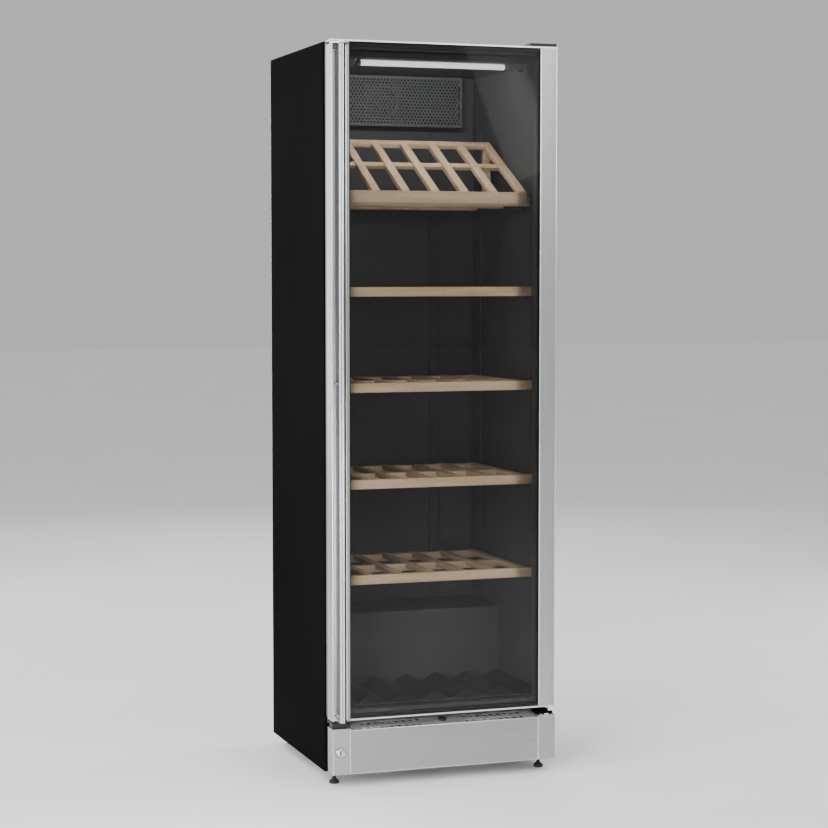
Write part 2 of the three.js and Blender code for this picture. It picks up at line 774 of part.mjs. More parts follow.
// The thermostat knob is turned with a coin in its slot.
function thermostatKnob() {
  const profile = [
    [0, -14], [3.2, -14], [3.2, 0.4], [KNOB.r, 0.4], [KNOB.r, 4.6], [KNOB.r - 1, 5.6], [0, 5.6],
  ].map(([r, h]) => new THREE.Vector2(r, h));
  const geometry = new THREE.LatheGeometry(profile, 24);
  geometry.rotateX(Math.PI / 2);
  const slot = block([-8, 8], [-1, 1], [4, 7]);
  return cut(solid(geometry), slot);
}

piece('thermostat_knob', thermostatKnob(), blackPlastic, grilleGroup).position.set(0, KNOB.y, 0);

// ---------------------------------------------------------------- lock

const BOLT = { half: 4, front: 25, back: 33, low: 98.5, high: 162 };

function lockHousing() {
  const roomy = 0.4;
  return cut(
    block([-294, -254], [14, 40], [70, 160]),
    block(
      [LOCK_X - BOLT.half - roomy, LOCK_X + BOLT.half + roomy],
      [BOLT.front - roomy, BOLT.back + roomy], [BOLT.low - 2, 170],
    ),
    rod('y', 8.5, 26, [LOCK_X, 0, LOCK_Z], 24),
  );
}

piece('lock_housing', lockHousing(), blackPlastic);

// The key cylinder, drawn about its own axis with a keyhole in its face.
function lockCylinder() {
  const profile = [
    [0, -2.4], [8.4, -2.4], [8.9, -1.9], [9.4, -2.4], [10.8, -2.4], [11.5, -1.7], [11.5, -0.3],
    [8, -0.3], [8, 24], [0, 24],
  ].map(([r, h]) => new THREE.Vector2(r, h));
  const geometry = new THREE.LatheGeometry(profile, 24);
  return cut(
    solid(geometry),
    block([-1, 1], [-4, 8], [-5, 3]),
    rod('y', 1.9, 12, [0, -4, 3], 12),
  );
}

piece('lock_cylinder', lockCylinder(), chrome).position.set(LOCK_X, 0, LOCK_Z);
piece('lock_bolt', block(
  [LOCK_X - BOLT.half, LOCK_X + BOLT.half], [BOLT.front, BOLT.back], [BOLT.low, BOLT.high],
), chrome);

// ---------------------------------------------------------------- feet

function levellingFoot() {
  const profile = [
    [0, 0], [FOOT.r - 1, 0], [FOOT.r, 1.5], [FOOT.r, 7], [9, 10], [FOOT.stemR, 11],
    [FOOT.stemR, 62], [0, 62],
  ].map(([r, h]) => new THREE.Vector2(r, h));
  const geometry = new THREE.LatheGeometry(profile, 20);
  geometry.rotateX(Math.PI / 2);
  return solid(geometry);
}

for (const [name, side] of [['left', -1], ['right', 1]]) {
  piece(`foot_${name}`, levellingFoot(), rubber).position.set(side * FOOT.x, FOOT.depth, 0);
}

// ---------------------------------------------------------------- door

const doorStart = -HALF;

// The handle-side stile: a hollow box with a lip that stands up along the finger groove.
function handleStile() {
  const floor = 16;
  const shape = new THREE.Shape();
  shape.moveTo(doorStart, 1);
  shape.lineTo(doorStart + 1, 0);
  shape.lineTo(doorStart + LIP, 0);
  shape.lineTo(doorStart + LIP, floor - 8);
  shape.quadraticCurveTo(doorStart + LIP + 1, floor, doorStart + LIP + 8, floor);
  const inner = doorStart + STILE - REBATE;
  const hollowFront = floor + PROFILE;
  shape.lineTo(inner, floor);
  shape.lineTo(inner, DOOR_DEPTH);
  shape.lineTo(doorStart, DOOR_DEPTH);
  shape.closePath();
  shape.holes.push(outline([
    [doorStart + PROFILE, hollowFront], [doorStart + PROFILE, DOOR_DEPTH - PROFILE],
    [inner - PROFILE, DOOR_DEPTH - PROFILE], [inner - PROFILE, hollowFront],
  ]));
  return upright(shape, DOOR_BOTTOM, GLASS_TOP);
}

// The handle bar: a hollow profile whose front edge stands proud of the door, with a small
// gusset across the groove at mid height.
function handleBar() {
  const left = doorStart + LIP + GROOVE;
  const right = doorStart + STILE;
  const back = 16 - GAP;
  const edge = left + BAR;
  const [thin, round] = [PROFILE, 2];
  const shape = outline([
    [left, back], [left, -HANDLE_PROUD + round], [left + round, -HANDLE_PROUD],
    [edge - round, -HANDLE_PROUD], [edge, -HANDLE_PROUD + round], [edge, 0],
    [right - 1, 0], [right, 1], [right, FLANGE], [right - REBATE, FLANGE], [right - REBATE, back],
  ]);
  const hollowEnd = right - REBATE - thin;
  shape.holes.push(outline([
    [left + thin, back - thin], [hollowEnd, back - thin], [hollowEnd, thin],
    [edge - thin, thin], [edge - thin, -HANDLE_PROUD + 3],
    [edge - 3, -HANDLE_PROUD + thin], [left + 3, -HANDLE_PROUD + thin],
    [left + thin, -HANDLE_PROUD + 3],
  ]));
  const middle = (DOOR_BOTTOM + DOOR_TOP) / 2;
  const gusset = upright(outline([
    [left + 1, -HANDLE_PROUD + 4], [left - GROOVE + 1, 8], [left - 6, back - 1.5], [left + 1, back - 1],
  ]), middle - 2, middle + 2);
  return join(upright(shape, DOOR_BOTTOM - 2, GLASS_TOP), gusset);
}

function hingeStile() {
  const [inner, outer] = [HALF - STILE, HALF];
  const boxed = inner + REBATE;
  const shape = outline([
    [inner, 0], [outer - 1, 0], [outer, 1], [outer, DOOR_DEPTH], [boxed, DOOR_DEPTH],
    [boxed, FLANGE], [inner, FLANGE],
  ]);
  shape.holes.push(outline([
    [boxed + PROFILE, PROFILE], [boxed + PROFILE, DOOR_DEPTH - PROFILE],
    [outer - PROFILE, DOOR_DEPTH - PROFILE], [outer - PROFILE, PROFILE],
  ]));
  return upright(shape, GLASS_BOTTOM, GLASS_TOP);
}

const pinHole = (z) => rod('z', PIN_R + 0.4, 20, [HINGE_X, HINGE_DEPTH, z - 10], 20);

piece('handle_stile', handleStile(), aluminium);
piece('handle_bar', handleBar(), aluminium);
piece('hinge_stile', hingeStile(), aluminium);
piece('door_rail_top', cut(
  block([-HALF, HALF], [0, DOOR_DEPTH], [DOOR_TOP - DOOR_STRIP, DOOR_TOP]), pinHole(DOOR_TOP),
), aluminium);
piece('door_rail_bottom', cut(
  block([-HALF + STILE + GAP, HALF], [0, DOOR_DEPTH], [DOOR_BOTTOM, DOOR_BOTTOM + DOOR_STRIP]),
  pinHole(DOOR_BOTTOM),
), aluminium);

const paneRange = [[-GLASS_HALF, GLASS_HALF], [GLASS_BOTTOM, GLASS_TOP]];
const outerPane = FLANGE + GAP;
const innerPane = outerPane + PANE + PANE_GAP + 2 * GAP;
piece('glass_outer', block(paneRange[0], [outerPane, outerPane + PANE], paneRange[1]), smokedGlass);
piece('glass_inner', block(paneRange[0], [innerPane, innerPane + PANE], paneRange[1]), clearGlass);
piece('glass_spacer', ring(
  [GLASS_HALF - 1, GLASS_BOTTOM + 1, GLASS_TOP - 1],
  [GLASS_HALF - 9, GLASS_BOTTOM + 9, GLASS_TOP - 9],
  [outerPane + PANE + GAP, outerPane + PANE + GAP + PANE_GAP],
), blackPlastic);

// The inner frame clamps the glass from behind and carries the magnetic gasket.
function doorInnerFrame() {
  const behind = DOOR_DEPTH + GAP;
  const opening = [GLASS_HALF - 7, 190, 1824];
  return join(
    ring([HALF - 3, DOOR_BOTTOM + 4, DOOR_TOP - 4], opening, [behind, FRAME_BACK]),
    ring([GLASS_HALF, GLASS_BOTTOM, GLASS_TOP], opening, [innerPane + PANE + GAP, behind + 1]),
  );
}

piece('door_inner_frame', doorInnerFrame(), blackPlastic);
piece('door_gasket', ring(
  [HALF - 13, DOOR_BOTTOM + 6, DOOR_TOP - 6], [HALF - 29, DOOR_BOTTOM + 22, DOOR_TOP - 22],
  [FRAME_BACK + GAP, GASKET_BACK],
), rubber);

// ---------------------------------------------------------------- hinges

const hingeRange = [HALF - STILE, HALF - 5];

// The lower bracket is an angle screwed to the base pan; the chrome pin stands on it.
piece('hinge_bracket_lower', join(
  block(hingeRange, [4, CABINET_FRONT - 3], [PLINTH_CAP_TOP + 2, PLINTH_CAP_TOP + 7.7]),
  block(hingeRange, [CABINET_FRONT - 8, CABINET_FRONT - 3], [100, PLINTH_CAP_TOP + 5]),
), blackSteel);

function lowerPin() {
  const base = PLINTH_CAP_TOP + 7.7 + GAP;
  const profile = [
    [0, base], [6.5, base], [6.5, DOOR_BOTTOM - GAP], [PIN_R, DOOR_BOTTOM - GAP],
    [PIN_R, DOOR_BOTTOM + 20], [0, DOOR_BOTTOM + 20],
  ].map(([r, h]) => new THREE.Vector2(r, h));
  const geometry = new THREE.LatheGeometry(profile, 20);
  geometry.rotateX(Math.PI / 2);
  geometry.translate(HINGE_X, HINGE_DEPTH, 0);
  return solid(geometry);
}

piece('hinge_pin_lower', lowerPin(), chrome);

// The upper bracket bolts to the cabinet's top and carries its own pin; a cover hides it.
piece('hinge_bracket_upper', join(
  block([230, HALF - 5], [6, 150], [CABINET_TOP + GAP, CABINET_TOP + 4]),
  rod('z', PIN_R, 26, [HINGE_X, HINGE_DEPTH, CABINET_TOP + 2 - 26], 20),
), zincSteel);
piece('hinge_cover', cut(
  block([225, HALF - 2.5], [2, 155], [CABINET_TOP + GAP, HEIGHT]),
  block([227, HALF - 4.5], [4, 153], [CABINET_TOP - 1, HEIGHT - 2]),
), blackPlastic);

export default cooler;
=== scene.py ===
"""The looks of a tall wine cooler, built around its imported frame."""

import math

import bmesh
import bpy
from mathutils import Matrix, Vector


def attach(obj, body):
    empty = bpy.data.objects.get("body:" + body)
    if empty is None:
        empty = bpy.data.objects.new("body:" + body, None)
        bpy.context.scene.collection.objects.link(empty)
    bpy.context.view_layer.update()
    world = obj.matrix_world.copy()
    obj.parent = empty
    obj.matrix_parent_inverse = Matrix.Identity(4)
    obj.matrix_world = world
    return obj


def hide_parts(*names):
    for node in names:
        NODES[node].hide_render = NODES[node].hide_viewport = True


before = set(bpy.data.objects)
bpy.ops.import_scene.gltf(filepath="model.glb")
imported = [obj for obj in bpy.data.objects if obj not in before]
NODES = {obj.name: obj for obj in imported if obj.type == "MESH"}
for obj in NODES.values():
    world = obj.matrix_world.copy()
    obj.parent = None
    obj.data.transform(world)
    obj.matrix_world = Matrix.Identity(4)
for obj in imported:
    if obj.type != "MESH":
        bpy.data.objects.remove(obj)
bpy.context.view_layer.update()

MM = 0.001
FACE = -279.5  # y of the door's front plane, in millimetres
HALF = 297.5  # half the cabinet's width
TAU = 2 * math.pi

DOOR_LOW, DOOR_HIGH = 168.0, 1842.0
GLASS_LOW, GLASS_HIGH = 172.3, 1837.7
GLASS_HALF = 259.7
DOOR_DEPTH = 42.0  # from the front of the side profiles to their back
STILE = 46.0  # width of a side profile
REBATE = 8.5  # how far its front flange laps over the glass
FLANGE = 2.7
HANDLE_PROUD = 18.0
GRILLE_SLOPE = math.radians(14)
DISPLAY_TILT = math.radians(28)
WHITE = (1.0, 1.0, 1.0)
SHELF_TOPS = (1470.0, 1241.0, 1001.0, 759.0, 518.0)
SIDES = ((-1, "left"), (1, "right"))


# ------------------------------------------------------------------ materials


def preset(node, **values):
    """Sets a node's inputs by their names, with an underscore for each space."""
    for name, value in values.items():
        node.inputs[name.replace("_", " ")].default_value = value


class Paint:
    """A node material with one Principled shader, whose patterns lie in the object's own space."""

    def __init__(self, name, roughness=0.5, metallic=0.0, specular=0.5):
        self.material = bpy.data.materials.new(name)
        self.material.use_nodes = True
        self.tree = self.material.node_tree
        self.tree.nodes.clear()
        self.output = self.node("ShaderNodeOutputMaterial")
        self.shader = self.node("ShaderNodeBsdfPrincipled")
        self.link(self.shader.outputs[0], self.output.inputs["Surface"])
        preset(
            self.shader, Roughness=roughness, Metallic=metallic, Specular_IOR_Level=specular
        )
        self.coords = self.node("ShaderNodeTexCoord").outputs["Object"]
        self.normal = None

    def node(self, kind):
        return self.tree.nodes.new(kind)

    def link(self, start, end):
        self.tree.links.new(start, end)

    def noise(self, stretch, detail=3.0, roughness=0.5, distortion=0.0):
        """Noise with that many features to the metre along each axis."""
        mapping = self.node("ShaderNodeMapping")
        preset(mapping, Scale=stretch)
        self.link(self.coords, mapping.inputs["Vector"])
        texture = self.node("ShaderNodeTexNoise")
        preset(texture, Scale=1.0, Detail=detail, Roughness=roughness, Distortion=distortion)
        self.link(mapping.outputs[0], texture.inputs["Vector"])
        return texture.outputs[0]

    def cells(self, scale):
        texture = self.node("ShaderNodeTexVoronoi")
        preset(texture, Scale=scale)
        self.link(self.coords, texture.inputs["Vector"])
        return texture.outputs["Color"]

    def ramp(self, value, *stops):
        """Colours at places from 0 to 1 along a value."""
        ramp = self.node("ShaderNodeValToRGB")
        elements = ramp.color_ramp.elements
        while len(elements) < len(stops):
            elements.new(0.5)
        for element, (place, color) in zip(elements, stops):
            element.position = place
            element.color = (*color, 1.0)
        self.link(value, ramp.inputs[0])
        return ramp.outputs[0]

    def multiply(self, first, second, share=1.0):
        mix = self.node("ShaderNodeMix")
        mix.data_type = "RGBA"
        mix.blend_type = "MULTIPLY"
        preset(mix, Factor=share)
        self.link(first, mix.inputs["A"])
        self.link(second, mix.inputs["B"])
        return mix.outputs["Result"]

    def spread(self, value, low, high):
        spread = self.node("ShaderNodeMapRange")
        preset(spread, From_Min=0.3, From_Max=0.7, To_Min=low, To_Max=high)
        self.link(value, spread.inputs["Value"])
        return spread.outputs[0]

    def color(self, value):
        self.link(value, self.shader.inputs["Base Color"])

    def rough(self, value, low, high):
        self.link(self.spread(value, low, high), self.shader.inputs["Roughness"])

    def bump(self, height, depth, strength=1.0):
        """Relief of that depth in metres. Later calls add to earlier ones."""
        bump = self.node("ShaderNodeBump")
        preset(bump, Strength=strength, Distance=depth)
        self.link(height, bump.inputs["Height"])
        if self.normal:
            self.link(self.normal, bump.inputs["Normal"])
        self.normal = bump.outputs[0]
        self.link(self.normal, self.shader.inputs["Normal"])


def even(scale):
    return [scale] * 3


def shade(color, factor):
    return tuple(channel * factor for channel in color)


def coated(name, color, rough, peel, specular=0.4, depth=0.00008):
    """Paint or moulded plastic: a fine skin, and a slow drift in tone and gloss."""
    paint = Paint(name, specular=specular)
    broad = paint.noise((3.0, 3.0, 2.0), detail=2.0)
    skin = paint.noise(even(peel), detail=2.0)
    fine = paint.noise(even(peel * 2.7), detail=1.0)
    tone = paint.ramp(broad, (0.3, shade(color, 0.88)), (0.7, shade(color, 1.12)))
    speck = paint.ramp(fine, (0.35, (0.93, 0.93, 0.93)), (0.65, WHITE))
    paint.color(paint.multiply(tone, speck))
    paint.rough(skin, rough - 0.05, rough + 0.05)
    paint.bump(skin, depth, 0.6)
    paint.bump(fine, 0.00003, 0.5)
    return paint.material


def brushed(name, color, rough, along):
    """Brushed metal: hair lines that run along one axis, over wide soft bands."""
    paint = Paint(name, metallic=1.0)
    slow, quick, wide = even(240.0), even(2200.0), even(9.0)
    axis = "xyz".index(along)
    slow[axis], quick[axis], wide[axis] = 1.2, 14.0, 0.8
    bands = paint.noise(slow, detail=4.0, roughness=0.6)
    hairs = paint.noise(quick, detail=3.0, roughness=0.65)
    drift = paint.noise(wide, detail=2.0)
    tone = paint.ramp(bands, (0.3, shade(color, 0.93)), (0.7, shade(color, 1.05)))
    hair = paint.ramp(hairs, (0.3, (0.9, 0.9, 0.9)), (0.7, WHITE))
    slow_tone = paint.ramp(drift, (0.3, (0.96, 0.96, 0.965)), (0.7, WHITE))
    paint.color(paint.multiply(paint.multiply(tone, hair), slow_tone))
    paint.rough(hairs, rough - 0.04, rough + 0.05)
    paint.bump(hairs, 0.00002, 0.5)
    return paint.material


def wood(name, along):
    """Beech with its grain along one axis: soft growth bands and short dark flecks."""
    paint = Paint(name, specular=0.3)
    axis = "xyz".index(along)
    grain, bands, flecks = even(130.0), even(26.0), even(1500.0)
    grain[axis], bands[axis], flecks[axis] = 5.0, 1.3, 110.0
    band = paint.noise(bands, detail=3.0, distortion=0.4)
    lines = paint.noise(grain, detail=5.0, roughness=0.6, distortion=0.25)
    fleck = paint.noise(flecks, detail=1.0)
    base = paint.ramp(
        band, (0.3, (0.47, 0.335, 0.215)), (0.55, (0.56, 0.41, 0.275)), (0.75, (0.50, 0.36, 0.235))
    )
    fibre = paint.ramp(lines, (0.3, (0.80, 0.77, 0.72)), (0.65, WHITE))
    dark = paint.ramp(fleck, (0.30, (0.62, 0.55, 0.48)), (0.40, WHITE))
    paint.color(paint.multiply(paint.multiply(base, fibre), dark, 0.8))
    paint.rough(lines, 0.48, 0.62)
    paint.bump(lines, 0.00012, 0.5)
    paint.bump(fleck, 0.00005, 0.4)
    return paint.material


def galvanised(name, color):
    paint = Paint(name, metallic=0.85)
    spangle = paint.cells(55.0)
    dust = paint.noise(even(300.0), detail=4.0)
    flakes = paint.ramp(spangle, (0.0, shade(color, 0.82)), (1.0, shade(color, 1.08)))
    grey = paint.ramp(dust, (0.35, (0.9, 0.9, 0.91)), (0.65, WHITE))
    paint.color(paint.multiply(flakes, grey))
    paint.rough(dust, 0.42, 0.55)
    paint.bump(dust, 0.00003, 0.4)
    return paint.material


def polished(name, color, rough):
    paint = Paint(name, metallic=1.0)
    haze = paint.noise(even(180.0), detail=3.0)
    scratches = paint.noise((900.0, 900.0, 60.0), detail=2.0)
    tone = paint.ramp(haze, (0.3, shade(color, 0.95)), (0.7, color))
    paint.color(tone)
    paint.rough(haze, rough, rough + 0.05)
    paint.bump(scratches, 0.000006, 0.4)
    return paint.material


def glazing(name, tint, gloss, index):
    """A pane: clear to sight with a tint, and a mirror at a low angle."""
    paint = Paint(name)
    paint.tree.nodes.remove(paint.shader)
    through = paint.node("ShaderNodeBsdfTransparent")
    mirror = paint.node("ShaderNodeBsdfGlossy")
    preset(mirror, Roughness=gloss)
    fresnel = paint.node("ShaderNodeFresnel")
    preset(fresnel, IOR=index)
    film = paint.noise((1.6, 1.6, 1.1), detail=2.0)
    tone = paint.ramp(film, (0.3, shade(tint, 0.97)), (0.7, shade(tint, 1.02)))
    paint.link(tone, through.inputs["Color"])
    mix = paint.node("ShaderNodeMixShader")
    paint.link(fresnel.outputs[0], mix.inputs[0])
    paint.link(through.outputs[0], mix.inputs[1])
    paint.link(mirror.outputs[0], mix.inputs[2])
    paint.link(mix.outputs[0], paint.output.inputs["Surface"])
    return paint.material


def glowing(name, color, strength):
    """Lit glass of a lamp tube, with a faint random tone."""
    paint = Paint(name, roughness=0.25)
    powder = paint.noise(even(60.0), detail=2.0)
    tone = paint.ramp(powder, (0.3, shade(color, 0.96)), (0.7, color))
    paint.color(tone)
    paint.link(tone, paint.shader.inputs["Emission Color"])
    preset(paint.shader, Emission_Strength=strength)
    return paint.material


# Satin black steel for the cabinet, also used for painted shade on the lock: its dark rings and
# keyhole.
BLACK_STEEL_AND_SHADE = coated("satin_black_steel_and_painted_shade", (0.0034, 0.0035, 0.0038), 0.55, 900.0, specular=0.002)
DARK_LINER = coated(
    "dark_grey_liner", (0.048, 0.049, 0.052), 0.50, 700.0, specular=0.4, depth=0.00002
)
BLACK_PLASTIC = coated("black_moulded_plastic", (0.012, 0.012, 0.013), 0.48, 1600.0)
WHITE_PLASTIC = coated("white_moulded_plastic", (0.72, 0.73, 0.74), 0.38, 1500.0)
RUBBER = coated("black_rubber", (0.010, 0.010, 0.0105), 0.66, 1800.0, specular=0.25)
FOAM = coated("rigid_foam", (0.70, 0.58, 0.34), 0.85, 400.0, specular=0.2)
BLACK_ENAMEL = coated("black_enamel", (0.014, 0.014, 0.015), 0.28, 500.0)
INNER_FRAME = coated("dark_grey_plastic", (0.085, 0.086, 0.088), 0.45, 1400.0)
COVER_GREY = coated("grey_cover_sheet", (0.080, 0.081, 0.084), 0.46, 900.0)
LAMP_GREY = coated("grey_lamp_plastic", (0.22, 0.222, 0.226), 0.40, 1400.0)
# Black print on the glass, also used as painted shade: the sheet behind the cover's holes and a
# strip in the handle's groove.
BLACK_PRINT_AND_SHADE = coated("black_glass_print_and_painted_shade", (0.004, 0.004, 0.0045), 0.30, 1200.0, specular=0.2)
ALUMINIUM = brushed("brushed_aluminium_upright", (0.50, 0.505, 0.51), 0.34, "z")
# Bright metal for the lock's face and rim, also used for painted highlight strips along edges.
BRIGHT_METAL_AND_HIGHLIGHT = brushed("bright_metal_and_painted_highlight", (0.93, 0.932, 0.935), 0.25, "z")
# A darker copy of the upright aluminium: painted shade in the handle's finger groove and behind the
# bar.
SHADED_ALUMINIUM = brushed("aluminium_with_painted_shade", (0.36, 0.365, 0.37), 0.40, "z")
PLINTH_CAP = brushed("brushed_plinth_cap", (0.44, 0.445, 0.45), 0.36, "z")
ALUMINIUM_ACROSS = brushed("brushed_aluminium_across", (0.82, 0.825, 0.83), 0.30, "x")
STEEL_ACROSS = brushed("brushed_steel_across", (0.40, 0.405, 0.41), 0.40, "x")
GRILLE_METAL = coated("grey_grille_enamel", (0.165, 0.167, 0.17), 0.42, 1300.0, specular=0.5)
ZINC = galvanised("galvanised_steel", (0.50, 0.51, 0.52))
CHROME = polished("bright_chrome", (0.80, 0.81, 0.82), 0.08)
COPPER = polished("copper_tube", (0.72, 0.36, 0.20), 0.25)
SMOKED = glazing("smoked_pane", (0.77, 0.77, 0.77), 0.015, 1.27)
CLEAR = glazing("clear_pane", (0.97, 0.975, 0.97), 0.015, 1.16)
BEECH_X = wood("beech_across", "x")
BEECH_Y = wood("beech_front_to_back", "y")
LAMP = glowing("lit_lamp_glass", (0.96, 0.98, 1.0), 1.7)


# ------------------------------------------------------------------ mesh tools


def place(x, depth, z):
    """A point in metres from millimetres: across, behind the door's face and up."""
    return Vector((x * MM, (FACE + depth) * MM, z * MM))


def about(middle, half):
    """The range that reaches half to both sides of a middle."""
    return middle - half, middle + half


def show(thing):
    """Puts an object into the scene."""
    bpy.context.scene.collection.objects.link(thing)


def absorb(target, part, index):
    """Moves part into target with one material index."""
    for face in part.faces:
        face.material_index = index
    mesh = bpy.data.meshes.new("part")
    part.to_mesh(mesh)
    part.free()
    target.from_mesh(mesh)
    bpy.data.meshes.remove(mesh)


def outward(part):
    """The same part with every face turned outward."""
    bmesh.ops.recalc_face_normals(part, faces=part.faces)
    return part


def moved(part, shift):
    """The same part, shifted by a vector in metres."""
    bmesh.ops.translate(part, vec=shift, verts=part.verts)
    return part


def transformed(part, matrix):
    bmesh.ops.transform(part, matrix=matrix, verts=part.verts)
    return part


def skin(part, rings, closed=False):
    """Joins each ring of vertices to the next. A ring of one vertex is a pole."""
    for first, second in zip(rings, rings[1:] + (rings[:1] if closed else [])):
        count = max(len(first), len(second))
        for i in range(count):
            j = (i + 1) % count
            if len(first) == 1:
                part.faces.new((first[0], second[i], second[j]))
            elif len(second) == 1:
                part.faces.new((first[j], first[i], second[0]))
            else:
                part.faces.new((first[i], first[j], second[j], second[i]))


def bar(x, depth, z, radius=1.0, segments=3):
    """A block with rounded edges, as ranges in millimetres."""
    part = bmesh.new()
    bmesh.ops.create_cube(part, size=1.0)
    low, high = place(x[0], depth[0], z[0]), place(x[1], depth[1], z[1])
    for vert in part.verts:
        for axis in range(3):
            vert.co[axis] = low[axis] if vert.co[axis] < 0 else high[axis]
    if radius:
        bmesh.ops.bevel(
            part, geom=list(part.edges), offset=radius * MM, segments=segments,
            profile=0.5, affect="EDGES", clamp_overlap=True,
        )
    return part


AXES = {
    "x": Matrix(((0, 0, 1), (1, 0, 0), (0, 1, 0))).to_4x4(),
    "y": Matrix(((0, 1, 0), (0, 0, 1), (1, 0, 0))).to_4x4(),
    "z": Matrix.Identity(4),
}


def turned(profile, centre, axis="z", steps=32, closed=False):
    """A profile of (radius, distance along the axis) turned about the axis through centre."""
    part = bmesh.new()
    rings = []
    for radius, along in profile:
        if radius < 1e-6:
            rings.append([part.verts.new((0, 0, along * MM))])
            continue
        rings.append([
            part.verts.new((
                radius * math.cos(TAU * i / steps) * MM,
                radius * math.sin(TAU * i / steps) * MM,
                along * MM,
            ))
            for i in range(steps)
        ])
    skin(part, rings, closed)
    return outward(moved(transformed(part, AXES[axis]), place(*centre)))


def rounded_corner(before, here, after, reach, steps):
    """Points of a curve that cuts the corner at here, starting and ending reach away from it."""
    start = here + (before - here).normalized() * reach
    end = here + (after - here).normalized() * reach
    shares = [step / steps for step in range(steps + 1)]
    return [start * (1 - t) ** 2 + here * (2 * t * (1 - t)) + end * t ** 2 for t in shares]


def filleted(corners, steps=4):
    """A polygon from corners given as (a, b, radius), with those corners rounded."""
    points = []
    count = len(corners)
    for i, (a, b, radius) in enumerate(corners):
        here = Vector((a, b))
        if radius <= 0:
            points.append((a, b))
            continue
        before, after = Vector(corners[i - 1][:2]), Vector(corners[(i + 1) % count][:2])
        back, ahead = before - here, after - here
        turn = back.angle(ahead)
        reach = min(radius / math.tan(turn / 2), back.length * 0.49, ahead.length * 0.49)
        points += [tuple(p) for p in rounded_corner(before, here, after, reach, steps)]
    return points


def extruded(points, low, high, axis="z", chamfer=0.0):
    """A closed outline drawn along an axis. Outlines are (x, depth) for z, (depth, z) for x and
    (x, z) for y."""

    def spot(a, b, along):
        if axis == "z":
            return place(a, b, along)
        if axis == "x":
            return place(along, a, b)
        return place(a, along, b)

    part = bmesh.new()
    loops = [[part.verts.new(spot(a, b, along)) for a, b in points] for along in (low, high)]
    skin(part, loops)
    part.faces.new(list(reversed(loops[0])))
    part.faces.new(loops[1])
    outward(part)
    if chamfer:
        rims = [edge for edge in part.edges if any(len(f.verts) > 4 for f in edge.link_faces)]
        bmesh.ops.bevel(
            part, geom=rims, offset=chamfer * MM, segments=2, profile=0.5, affect="EDGES"
        )
    return part


def piped(points, radius, sides=10):
    """A round tube along points in millimetres."""
    part = bmesh.new()
    path = [place(*p) for p in points]
    rings = []
    side = None
    for i, here in enumerate(path):
        heading = (path[min(i + 1, len(path) - 1)] - path[max(i - 1, 0)]).normalized()
        if side is None:
            guess = Vector((0, 0, 1)) if abs(heading.z) < 0.9 else Vector((0, 1, 0))
            side = heading.cross(guess).normalized()
        side = (side - heading * side.dot(heading)).normalized()
        other = heading.cross(side)
        rings.append([
            part.verts.new(here + (
                side * math.cos(TAU * k / sides) + other * math.sin(TAU * k / sides)
            ) * radius * MM)
            for k in range(sides)
        ])
    skin(part, rings)
    part.faces.new(list(reversed(rings[0])))
    part.faces.new(rings[-1])
    return outward(part)


def smooth_path(corners, radius):
    """Points along straight runs between corners, with each inner corner rounded."""
    points = [corners[0]]
    for corner in zip(corners, corners[1:], corners[2:]):
        before, here, after = (Vector(point) for point in corner)
        reach = min(radius, (before - here).length * 0.49, (after - here).length * 0.49)
        points += [tuple(p) for p in rounded_corner(before, here, after, reach, 6)]
    points.append(corners[-1])
    return points


def box(wide, high):
    """The corners of a rectangle from its two ranges."""
    return [(wide[0], high[0]), (wide[1], high[0]), (wide[1], high[1]), (wide[0], high[1])]


def circle(x, y, radius, steps=16):
    return [
        (x + radius * math.cos(TAU * i / steps), y + radius * math.sin(TAU * i / steps))
        for i in range(steps)
    ]


def plate(outer, holes, low, high, edge=0.25):
    """A flat plate in its own x-y plane between two heights, with holes and softened edges."""
    curve = bpy.data.curves.new("plate", "CURVE")
    curve.dimensions = "2D"
    curve.fill_mode = "BOTH"
    curve.extrude = ((high - low) / 2 - edge) * MM
    curve.bevel_depth = edge * MM
    curve.bevel_resolution = 1
    curve.offset = -edge * MM
    for loop in [outer, *holes]:
        spline = curve.splines.new("POLY")
        spline.points.add(len(loop) - 1)
        for point, (a, b) in zip(spline.points, loop):
            point.co = (a * MM, b * MM, 0, 1)
        spline.use_cyclic_u = True
    holder = bpy.data.objects.new("plate", curve)
    show(holder)
    graph = bpy.context.evaluated_depsgraph_get()
    mesh = bpy.data.meshes.new_from_object(holder.evaluated_get(graph))
    part = bmesh.new()
    part.from_mesh(mesh)
    bpy.data.objects.remove(holder)
    bpy.data.curves.remove(curve)
    bpy.data.meshes.remove(mesh)
    bmesh.ops.remove_doubles(part, verts=part.verts, dist=2e-6)
    return outward(moved(part, (0, 0, (low + high) / 2 * MM)))


def screw(x, depth, z, axis="y", facing=-1, radius=3.6):
    """A round screw head with a recess, standing off the surface at that point."""
    profile = [
        (0, 0.3), (0.36 * radius, 0.3), (0.40 * radius, 1.9), (0.72 * radius, 1.7),
        (0.93 * radius, 1.1), (radius, 0.4), (radius, -0.2), (0, -0.2),
    ]
    flipped = [(r, facing * h) for r, h in profile]
    return turned(flipped, (x, depth, z), axis, 18)


def made(name, body, parts, materials, stands_for=(), angle=32):
    """Joins (part, material index) pairs into one shown piece that rides on a body. Edges sharper
    than the angle stay sharp."""
    whole = bmesh.new()
    for part, index in parts:
        absorb(whole, part, index)
    mesh = bpy.data.meshes.new(name)
    whole.to_mesh(mesh)
    whole.free()
    for material in materials:
        mesh.materials.append(material)
    mesh.polygons.foreach_set("use_smooth", [True] * len(mesh.polygons))
    mesh.set_sharp_from_angle(angle=math.radians(angle))
    piece = bpy.data.objects.new(name, mesh)
    show(piece)
    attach(piece, body)
    if stands_for:
        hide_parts(*stands_for)
    return piece


